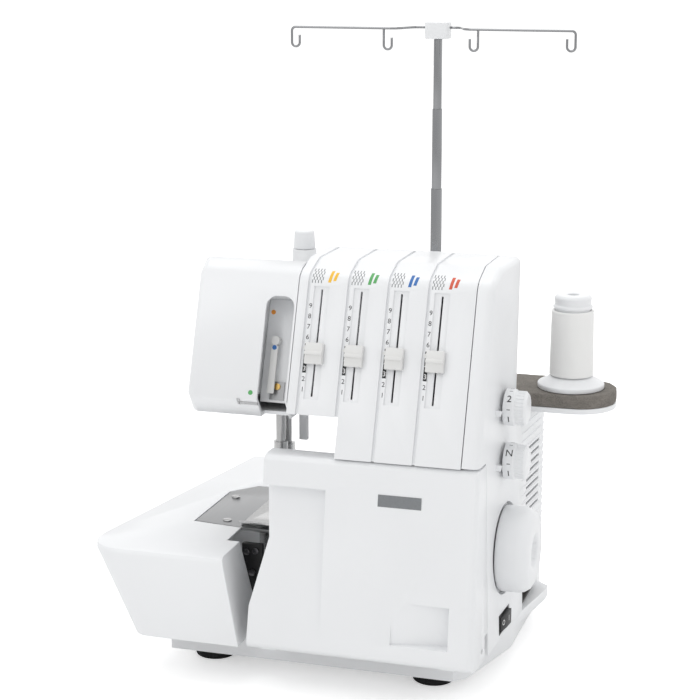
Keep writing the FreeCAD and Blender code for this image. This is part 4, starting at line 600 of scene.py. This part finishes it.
class OVERLOCK_OT_metalwork(bpy.types.Operator):
    """Softens the needle and presser gear, the knife, its bracket, the wires, the pins and the mast"""
    bl_idname = "overlock.metalwork"
    bl_label = "Metalwork"

    def execute(self, context):
        for node, finish, edge in (
                ("needle_plate", "plate", 0.4), ("needle_bar", "steel", 0.4),
                ("presser_bar", "steel", 0.4), ("presser_foot", "steel", 0.5),
                ("upper_knife", "steel", 0.4), ("spool_pins", "steel", 0.8),
                ("guide_wires", "chrome", 0.0), ("take_up_guide", "shell", 0.3),
                ("mast_lower", "chrome", 0.15), ("mast_middle", "chrome", 0.15),
                ("mast_upper", "chrome", 0.4)):
            dressed(node, finish, edge)
        bracket_front = at(0, -84.05, 0).y
        dressed("gear_bracket", "bracket", 0.4, recolour=("dark_steel", lambda c: c.y < bracket_front))
        self.screws()
        return {"FINISHED"}

    def screws(self):
        """Cheese-head screws with a driver slot, where the plain discs are."""
        low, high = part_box("needle_plate_screws")
        inset, half_height, turn = 3.6 * MM, 0.5 * MM, 0.6
        first = Vector((low[0] + inset, high[1] - inset, low[2] + half_height))
        last = Vector((high[0] - inset, low[1] + inset, low[2] + half_height))
        tree = Tree("needle_plate_screw_heads", head_radius=3.4 * MM, head_height=2 * half_height)
        head = tree.node("GeometryNodeMeshCylinder", {}, {
            "Vertices": 28, "Radius": tree.size("head_radius"), "Depth": tree.size("head_height")})
        notch = tree.node("GeometryNodeMeshCube", {}, {"Size": (8 * MM, 0.9 * MM, 0.8 * MM)})
        lifted = tree.node("GeometryNodeTransform", {}, {
            "Geometry": notch, "Translation": (0, 0, half_height)})
        slotted = tree.node("GeometryNodeMeshBoolean", {"operation": "DIFFERENCE", "solver": "EXACT"},
                            {"Mesh 1": head, "Mesh 2": lifted})
        line = tree.node("GeometryNodeMeshLine", {"mode": "END_POINTS"}, {
            "Count": 2, "Start Location": first, "Offset": last})
        heads = tree.node("GeometryNodeInstanceOnPoints", {}, {
            "Points": line, "Instance": slotted, "Rotation": (0.0, 0.0, turn)})
        piece = tree.done(heads, "machine", "steel", "steel", crease=35)
        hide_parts("needle_plate_screws")


class OVERLOCK_OT_controls(bpy.types.Operator):
    """Handwheel, side dials with ribs and numbers, power switch, inlet, pressure dial, sliders and lifter"""
    bl_idname = "overlock.controls"
    bl_label = "Controls"

    def execute(self, context):
        sizes = context.scene.overlock_sizes
        dressed("handwheel", "knob", 1.8, steps=4)
        dressed("pressure_dial", "knob", 0.8, steps=3)
        dressed("presser_lifter", "shell", 0.9, steps=3)
        for number, centre in enumerate(SLOT_CENTRES, 1):
            dressed("tension_slider_%d" % number, "slider", 0.8, steps=3)
            self.slider_pointer(number, centre)
        for node, words in (("stitch_length_dial", ("1", "2", "3", "4")),
                            ("differential_dial", ("1", "N", "2", "0"))):
            dressed(node, "knob", 0.6, steps=3)
            self.ribs(node, sizes.knob_ribs)
            self.numbers(node, words, sizes.ink_proud)
            self.pointer(node)
        dressed("switch_case", "black", 0.4)
        dressed("power_rocker", "black", 0.7, steps=3)
        self.rocker_marks(sizes.ink_proud)
        inlet_y, inlet_z, pitch, reach = 21, 38.5, 12, 2.3 * MM
        pins = [at(0, inlet_y + step * pitch, inlet_z) for step in (-1, 0, 1)]
        dressed("power_inlet", "black", 0.3, recolour=("gold", lambda c: any(
            math.hypot(c.y - pin.y, c.z - pin.z) < reach for pin in pins)))
        return {"FINISHED"}

    def ribs(self, node, count):
        """Finger ribs round the outer part of a dial."""
        low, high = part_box(node)
        radius = (high[1] - low[1]) / 2
        start, stop = high[0] - 7.6 * MM, high[0] - 1.9 * MM
        middle = Vector(((start + stop) / 2, (low[1] + high[1]) / 2, (low[2] + high[2]) / 2))
        tree = Tree(node + "_ribs", ribs=count, ring=radius - 1.65 * MM)
        circle = tree.node("GeometryNodeMeshCircle", {}, {
            "Vertices": tree.size("ribs"), "Radius": tree.size("ring")})
        rib = tree.node("GeometryNodeMeshCylinder", {}, {
            "Vertices": 10, "Radius": 0.8 * MM, "Depth": stop - start})
        ring = tree.node("GeometryNodeInstanceOnPoints", {}, {"Points": circle, "Instance": rib})
        stood = tree.node("GeometryNodeTransform", {}, {
            "Geometry": ring, "Rotation": (0.0, math.pi / 2, 0.0), "Translation": middle})
        tree.done(stood, BODY_OF[node], "knob", "white_plastic", crease=50)

    def numbers(self, node, words, proud):
        """Plain numbers and ticks by turns round the smooth band of a dial."""
        first, step = -28, 34
        low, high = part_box(node)
        radius = (high[1] - low[1]) / 2 + 0.2 * proud
        middle = Vector((high[0] - 11.9 * MM, (low[1] + high[1]) / 2, (low[2] + high[2]) / 2))
        drawing = Drawing(proud)
        for i in range(2 * len(words)):
            turn = math.radians(first + step * i)
            out = Vector((0, -math.cos(turn), math.sin(turn)))
            spot = basis(RIGHT, out.cross(Vector(RIGHT)), middle + out * radius)
            if i % 2:
                drawing.bar(2.4 * MM, 0.5 * MM, spot)
            else:
                drawing.text(words[i // 2], 5.2 * MM, spot)
        drawing.done(node + "_numbers", BODY_OF[node], "ink", "black_plastic")

    def slider_pointer(self, number, centre):
        """The small arrow on the left of a tension slider."""
        arrow = Drawing(2.6 * MM)
        arrow.polygon(outline((-5.8, 6.2), (-9.0, 3.6), (-5.8, 1.0)),
                      face_basis(centre, SLIDER_REST, 2.0))
        arrow.done("tension_slider_%d_arrow" % number, "slider_%d" % number, "slider", "grey_plastic")

    def pointer(self, node):
        """A small moulded pointer on the side cover, in front of a dial."""
        gap, proud, half = 1.2, 1.0, 2.1
        low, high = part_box(node)
        y, z = low[1] / MM - SHIFT.y - gap, (low[2] + high[2]) / 2 / MM
        tab = Drawing(4 * MM)
        tab.polygon(outline((0, 0), (-5.5, half), (-6.5, half), (-6.5, -half), (-5.5, -half)),
                    basis(BACK, UP, at(side_plane(y, z) + proud, y, z)))
        tab.done(node + "_pointer", "machine", "shell", "white_plastic")

    def rocker_marks(self, proud):
        """The off ring and the on bar of the power switch, on its two flats."""
        low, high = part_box("power_rocker")
        pivot_y, pivot_z = (low[1] + high[1]) / 2, (low[2] + high[2]) / 2
        rocker = frame["nodes"]["power_rocker"].data
        drawing = Drawing(proud)
        for words, side in (("O", -1), ("I", 1)):
            # Faces that look out and lie clear of the pivot, then those level with the largest
            faces = [f for f in rocker.polygons
                     if f.normal.x > 0.5 and (f.center.y - pivot_y) * side > 2.5 * MM]
            if not faces:
                raise RuntimeError("the switch has no flat for its mark")
            out = max(faces, key=lambda f: f.area).normal.copy()
            faces = [f for f in faces if f.normal.dot(out) > 0.999]
            x, y = (sum(f.center[axis] for f in faces) / len(faces) for axis in (0, 1))
            spot = Vector((x, y, pivot_z)) + out * proud
            drawing.text(words, 4.2 * MM, basis(Vector(UP).cross(out), UP, spot))
        drawing.done("power_rocker_marks", "switch", "light_ink", "white_plastic")


class OVERLOCK_OT_panel_marks(bpy.types.Operator):
    """Tension numerals and ranges, threading pictures, thread colours and the bare plate on the front"""
    bl_idname = "overlock.panel_marks"
    bl_label = "Panel marks"

    def execute(self, context):
        sizes = context.scene.overlock_sizes
        column, first, step, usual = -6.9, 46.5, 7.4, (3, 4, 5)
        low, high = 0.03, 0.09
        numerals, blocks, whites, pictures = (Drawing(sizes.ink_proud) for _ in range(4))
        for x in SLOT_CENTRES:
            blocks.bar(2.7 * MM, 20.6 * MM, face_basis(x + column, first + 3 * step, low))
            for number in range(1, 10):
                lot, lift = (whites, high) if number in usual else (numerals, low)
                lot.text(str(number), sizes.numeral,
                         face_basis(x + column, first + step * (number - 1), lift))
            self.threading(pictures, x + column)
        pictures.lay_on("tension_housing", cuts=3)
        numerals.done("tension_numerals", "machine", "ink", "black_plastic")
        blocks.done("tension_ranges", "machine", "ink", "black_plastic")
        pictures.done("threading_pictures", "machine", "grey_ink", "black_plastic")
        whites.done("tension_range_numerals", "machine", "light_ink", "white_plastic")
        for x, tint in zip(SLOT_CENTRES, ("yellow", "green", "blue", "red")):
            self.thread_mark(x, tint, sizes.ink_proud)
        plate = Drawing(0.24 * MM)
        plate.bar(31 * MM, 8.4 * MM, basis(RIGHT, COVER_UP, on_cover(55.5, 145.2, 0.12)))
        plate.done("front_plate", "front_cover", "grey_ink", "black_plastic")
        return {"FINISHED"}

    def threading(self, drawing, left):
        """The small line picture of the thread path over each slot."""
        pitch, lowest, sway = 2.2, 123.4, 0.5
        for column in range(4):
            for row in range(5):
                shift = sway if row % 2 else -sway
                drawing.bar(0.6 * MM, 2.3 * MM, face_basis(
                    left + pitch * column + shift, lowest + pitch * row, LAID_LIFT))

    def thread_mark(self, x, tint, proud):
        """Two slanted strokes in a thread's colour, over its slot."""
        mark = Drawing(proud)
        for step, tall in ((5.2, 9.0), (8.8, 6.5)):
            mark.polygon(outline((-1.1, -tall / 2), (1.1, -tall / 2), (2.3, tall / 2), (0.1, tall / 2)),
                         face_basis(x + step, 127.5, LAID_LIFT))
        mark.lay_on("tension_housing", cuts=7)
        mark.done("thread_mark_" + tint, "machine", tint, "black_plastic")


class OVERLOCK_OT_head_details(bpy.types.Operator):
    """The thread take-up lever, the plate beside it, the slit's painted shade, and the dots and clip of the
    head
    """
    bl_idname = "overlock.head_details"
    bl_label = "Head details"

    def execute(self, context):
        dressed("take_up_lever", "slider", 0.3)
        lever_front = WINDOW_FLOOR + 6.0
        for name, tint, body, x, rise, out, carrier in (
                ("take_up_dot", "blue", "take_up", -49, 76, lever_front, None),
                ("guide_dot", "orange", "machine", -54.5, 102, WINDOW_FLOOR, None),
                ("head_dot", "green", "machine", -59, 41.5, 0.04, "face_cover")):
            dot = Drawing(0.12 * MM)
            dot.dot(1.7 * MM, face_basis(x, rise, out))
            if carrier:
                dot.lay_on(carrier)
            dot.done(name, body, tint, "black_plastic")
        clip = Drawing(1.2 * MM)
        clip.bar(14 * MM, 1.5 * MM, face_basis(-61, 34.0, 0.5))
        clip.bar(2 * MM, 3.6 * MM, face_basis(-68, 34.8, 0.5))
        clip.lay_on("face_cover")
        clip.done("head_clip", "machine", "steel", "steel")
        # A flat black sliver of painted shade by the take-up lever, on the window floor
        slit = Drawing(context.scene.overlock_sizes.ink_proud)
        slit.polygon(outline((-0.4, -20), (0.3, -20), (1.6, 0), (1.8, 16), (-1.6, 16), (-1.2, 0)),
                     face_basis(-37.6, 82, WINDOW_FLOOR))
        slit.done("take_up_painted_shade", "machine", "ink", "black_plastic")
        plate = Drawing(1.1 * MM)
        plate.bar(10.5 * MM, 13 * MM, face_basis(-45.5, 45.5, WINDOW_FLOOR + 0.55))
        plate.done("head_thread_plate", "machine", "plate", "steel")
        screw = Drawing(1.4 * MM)
        screw.dot(2.3 * MM, face_basis(-45.5, 48.5, WINDOW_FLOOR + 1.55))
        screw.done("head_thread_screw", "machine", "gold", "bronze")
        return {"FINISHED"}


class OVERLOCK_OT_foam_pad(bpy.types.Operator):
    """The foam pad on the spool stand, with eased edges and an uneven skin"""
    bl_idname = "overlock.foam_pad"
    bl_label = "Foam pad"

    def execute(self, context):
        pad = dressed("spool_pad", "foam", 0.0)
        fine = pad.modifiers.new("cells", "REMESH")
        fine.mode = "VOXEL"
        fine.voxel_size = 1.6 * MM
        settle(pad)
        mesh = pad.data
        coat(mesh, "foam")
        skin_depth, seat = 0.22 * MM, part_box("spool_pad")[0][2] + 0.5 * MM
        normals = [v.normal.copy() for v in mesh.vertices]
        for vertex, normal in zip(mesh.vertices, normals):
            p = vertex.co
            broad = math.sin(p.x * 410) * math.sin(p.y * 370)
            narrow = math.sin(p.x * 930 + p.z * 800 + 1.3)
            if p.z > seat:
                vertex.co = p - normal * (skin_depth * (1.0 + 0.5 * (broad + 0.6 * narrow)))
        ease = pad.modifiers.new("ease", "SMOOTH")
        ease.factor = 0.5
        ease.iterations = 4
        settle(pad)
        smooth(pad.data, degrees=70)
        return {"FINISHED"}


class OVERLOCK_OT_spool(bpy.types.Operator):
    """The moulded spool and its close-wound thread"""
    bl_idname = "overlock.spool"
    bl_label = "Spool"

    def execute(self, context):
        sizes = context.scene.overlock_sizes
        dressed("thread_spool", "knob", 0.7, steps=3)
        low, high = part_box("thread_winding")
        core_low, core_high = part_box("thread_core")
        x, y = (low[0] + high[0]) / 2, (low[1] + high[1]) / 2
        thread = sizes.thread_radius
        barrel = 13.1 * MM + thread
        widest = (high[0] - low[0]) / 2 - thread
        top_wide = widest - 0.7 * MM
        bottom, top = core_low[2] + 1.2 * thread, core_high[2] - 1.2 * thread
        tree = Tree("wound_thread", thread=thread)
        profile = tree.round_profile("thread", 8)
        layers = []
        for turns, start, stop, height, base in (
                (sizes.thread_turns, widest, top_wide, top - bottom, bottom),
                (4, barrel, widest, 0.0, bottom), (3, barrel, top_wide, 0.0, top)):
            path = tree.node("GeometryNodeCurveSpiral", {}, {
                "Resolution": 40, "Rotations": float(turns), "Start Radius": start, "End Radius": stop,
                "Height": height, "Reverse": False})
            layers.append(tree.node("GeometryNodeTransform", {}, {
                "Geometry": tree.swept(path, profile), "Translation": Vector((x, y, base))}))
        wound = tree.node("GeometryNodeJoinGeometry", {}, {"Geometry": layers})
        piece = tree.done(wound, "spool", "thread", "thread", crease=60)
        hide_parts("thread_winding", "thread_core")
        return {"FINISHED"}


class OVERLOCK_OT_motor_ribs(bpy.types.Operator):
    """Level ribs between the louvres, round the right side of the motor cover"""
    bl_idname = "overlock.motor_ribs"
    bl_label = "Motor cover ribs"

    def execute(self, context):
        sizes = context.scene.overlock_sizes
        sunk, lowest = 0.35, 59.45 * MM
        tree = Tree("motor_cover_ribs", ribs=sizes.cover_ribs, round=1.1 * MM)
        profile = tree.round_profile("round", 12)
        bends = [at(x - sunk, y, 0) for x, y in ((113.2, -3), (118, 55), (113.5, 90))]
        rails = [tree.node("GeometryNodeCurvePrimitiveLine", {"mode": "POINTS"}, {
            "Start": start, "End": stop}) for start, stop in zip(bends, bends[1:])]
        path = tree.node("GeometryNodeJoinGeometry", {}, {"Geometry": rails})
        line = tree.node("GeometryNodeMeshLine", {"mode": "OFFSET"}, {
            "Count": tree.size("ribs"), "Start Location": (0, 0, lowest),
            "Offset": (0, 0, sizes.rib_pitch)})
        ribs = tree.node("GeometryNodeInstanceOnPoints", {}, {
            "Points": line, "Instance": tree.swept(path, profile)})
        tree.done(ribs, "machine", "shell", "white_plastic", crease=50)
        return {"FINISHED"}


class OVERLOCK_OT_stage(bpy.types.Operator):
    """Floor, soft studio lights and the camera"""
    bl_idname = "overlock.stage"
    bl_label = "Stage"

    def execute(self, context):
        context.scene.view_settings.view_transform = "Standard"
        self.floor()
        self.lights(context.scene)
        self.camera(context.scene)
        return {"FINISHED"}

    def floor(self):
        """A sheet of white paper, brighter to the camera than the light it throws on the machine."""
        rim, camera_glow, white = 6.0, 0.45, (1.0, 1.0, 1.0, 1.0)
        mesh = bpy.data.meshes.new("floor")
        mesh.from_pydata([(-rim, -rim, 0), (rim, -rim, 0), (rim, rim, 0), (-rim, rim, 0)], [],
                         [(0, 1, 2, 3)])
        floor = placed("floor", mesh)
        paint = Paint("floor_paper")
        seen = paint.node("ShaderNodeLightPath", {}, [], "Is Camera Ray")
        paint.set(Base_Color=paint.blend(paint.noise(3.0), (0.9, 0.9, 0.9), (0.93, 0.93, 0.93)),
                  Roughness=0.9, Emission_Color=white, Emission_Strength=camera_glow * seen)
        mesh.materials.append(paint.material)

    def lights(self, scene):
        """A bright room, lighter behind and to the right, and two large lamps."""
        ambient, from_behind, from_right = 0.78, 0.36, 0.1
        world = bpy.data.worlds.new("studio")
        scene.world = world
        world.use_nodes = True
        room = Graph(world.node_tree)
        facing = room.node("ShaderNodeTexCoord", {}, [], "Generated")
        across, back = (room.node("ShaderNodeSeparateXYZ", {}, [facing], axis) for axis in "XY")
        glow = room.tree.nodes["Background"]
        glow.inputs[0].default_value = (1.0, 1.0, 1.0, 1.0)
        room.feed(glow.inputs[1],
                  ambient + from_behind * back.above(0.0) + from_right * across.above(0.0))
        for name, place, aim, wide, power in (
                ("key", (-0.9, -1.7, 1.7), (0, 0, 0.15), 1.3, 6.0),
                ("top", (-0.2, 0.3, 2.3), (0, 0, 0.1), 1.6, 15.0)):
            lamp = bpy.data.lights.new(name, "AREA")
            lamp.energy = power
            lamp.size = wide
            light = placed(name, lamp)
            light.location = place
            light.rotation_euler = (Vector(aim) - Vector(place)).to_track_quat("-Z", "Y").to_euler()

    def camera(self, scene):
        """The camera of the photo, fitted to the machine's straight edges."""
        studio = scene.overlock_studio
        lens = bpy.data.cameras.new("camera")
        lens.lens = studio.lens
        lens.sensor_width = 36.0
        lens.clip_start, lens.clip_end = 0.05, 30.0
        camera = placed("camera", lens)
        camera.location = at(*studio.place)
        level = math.cos(studio.elevation)
        look = Vector((-math.sin(studio.azimuth) * level, math.cos(studio.azimuth) * level,
                       -math.sin(studio.elevation)))
        camera.rotation_euler = look.to_track_quat("-Z", "Y").to_euler()
        scene.camera = camera


STEPS = (OVERLOCK_OT_finishes, OVERLOCK_OT_stage, OVERLOCK_OT_shells, OVERLOCK_OT_metalwork,
         OVERLOCK_OT_controls, OVERLOCK_OT_panel_marks, OVERLOCK_OT_head_details, OVERLOCK_OT_foam_pad,
         OVERLOCK_OT_spool, OVERLOCK_OT_motor_ribs)


class OVERLOCK_PT_panel(bpy.types.Panel):
    """Lists the steps that dress the machine"""
    bl_idname = "OVERLOCK_PT_panel"
    bl_label = "Overlock machine"
    bl_space_type = "VIEW_3D"
    bl_region_type = "UI"
    bl_category = "Overlock"

    def draw(self, context):
        for step in STEPS:
            self.layout.operator(step.bl_idname)


CLASSES = (FinishColours, TrimSizes, StudioSettings, *STEPS, OVERLOCK_PT_panel)


def register():
    for kind in CLASSES:
        bpy.utils.register_class(kind)
    bpy.types.Scene.overlock_colours = PointerProperty(type=FinishColours)
    bpy.types.Scene.overlock_sizes = PointerProperty(type=TrimSizes)
    bpy.types.Scene.overlock_studio = PointerProperty(type=StudioSettings)


def unregister():
    del bpy.types.Scene.overlock_studio
    del bpy.types.Scene.overlock_sizes
    del bpy.types.Scene.overlock_colours
    for kind in reversed(CLASSES):
        bpy.utils.unregister_class(kind)


def main():
    register()
    for step in STEPS:
        group, name = step.bl_idname.split(".")
        getattr(getattr(bpy.ops, group), name)()


if __name__ == "__main__":
    main()
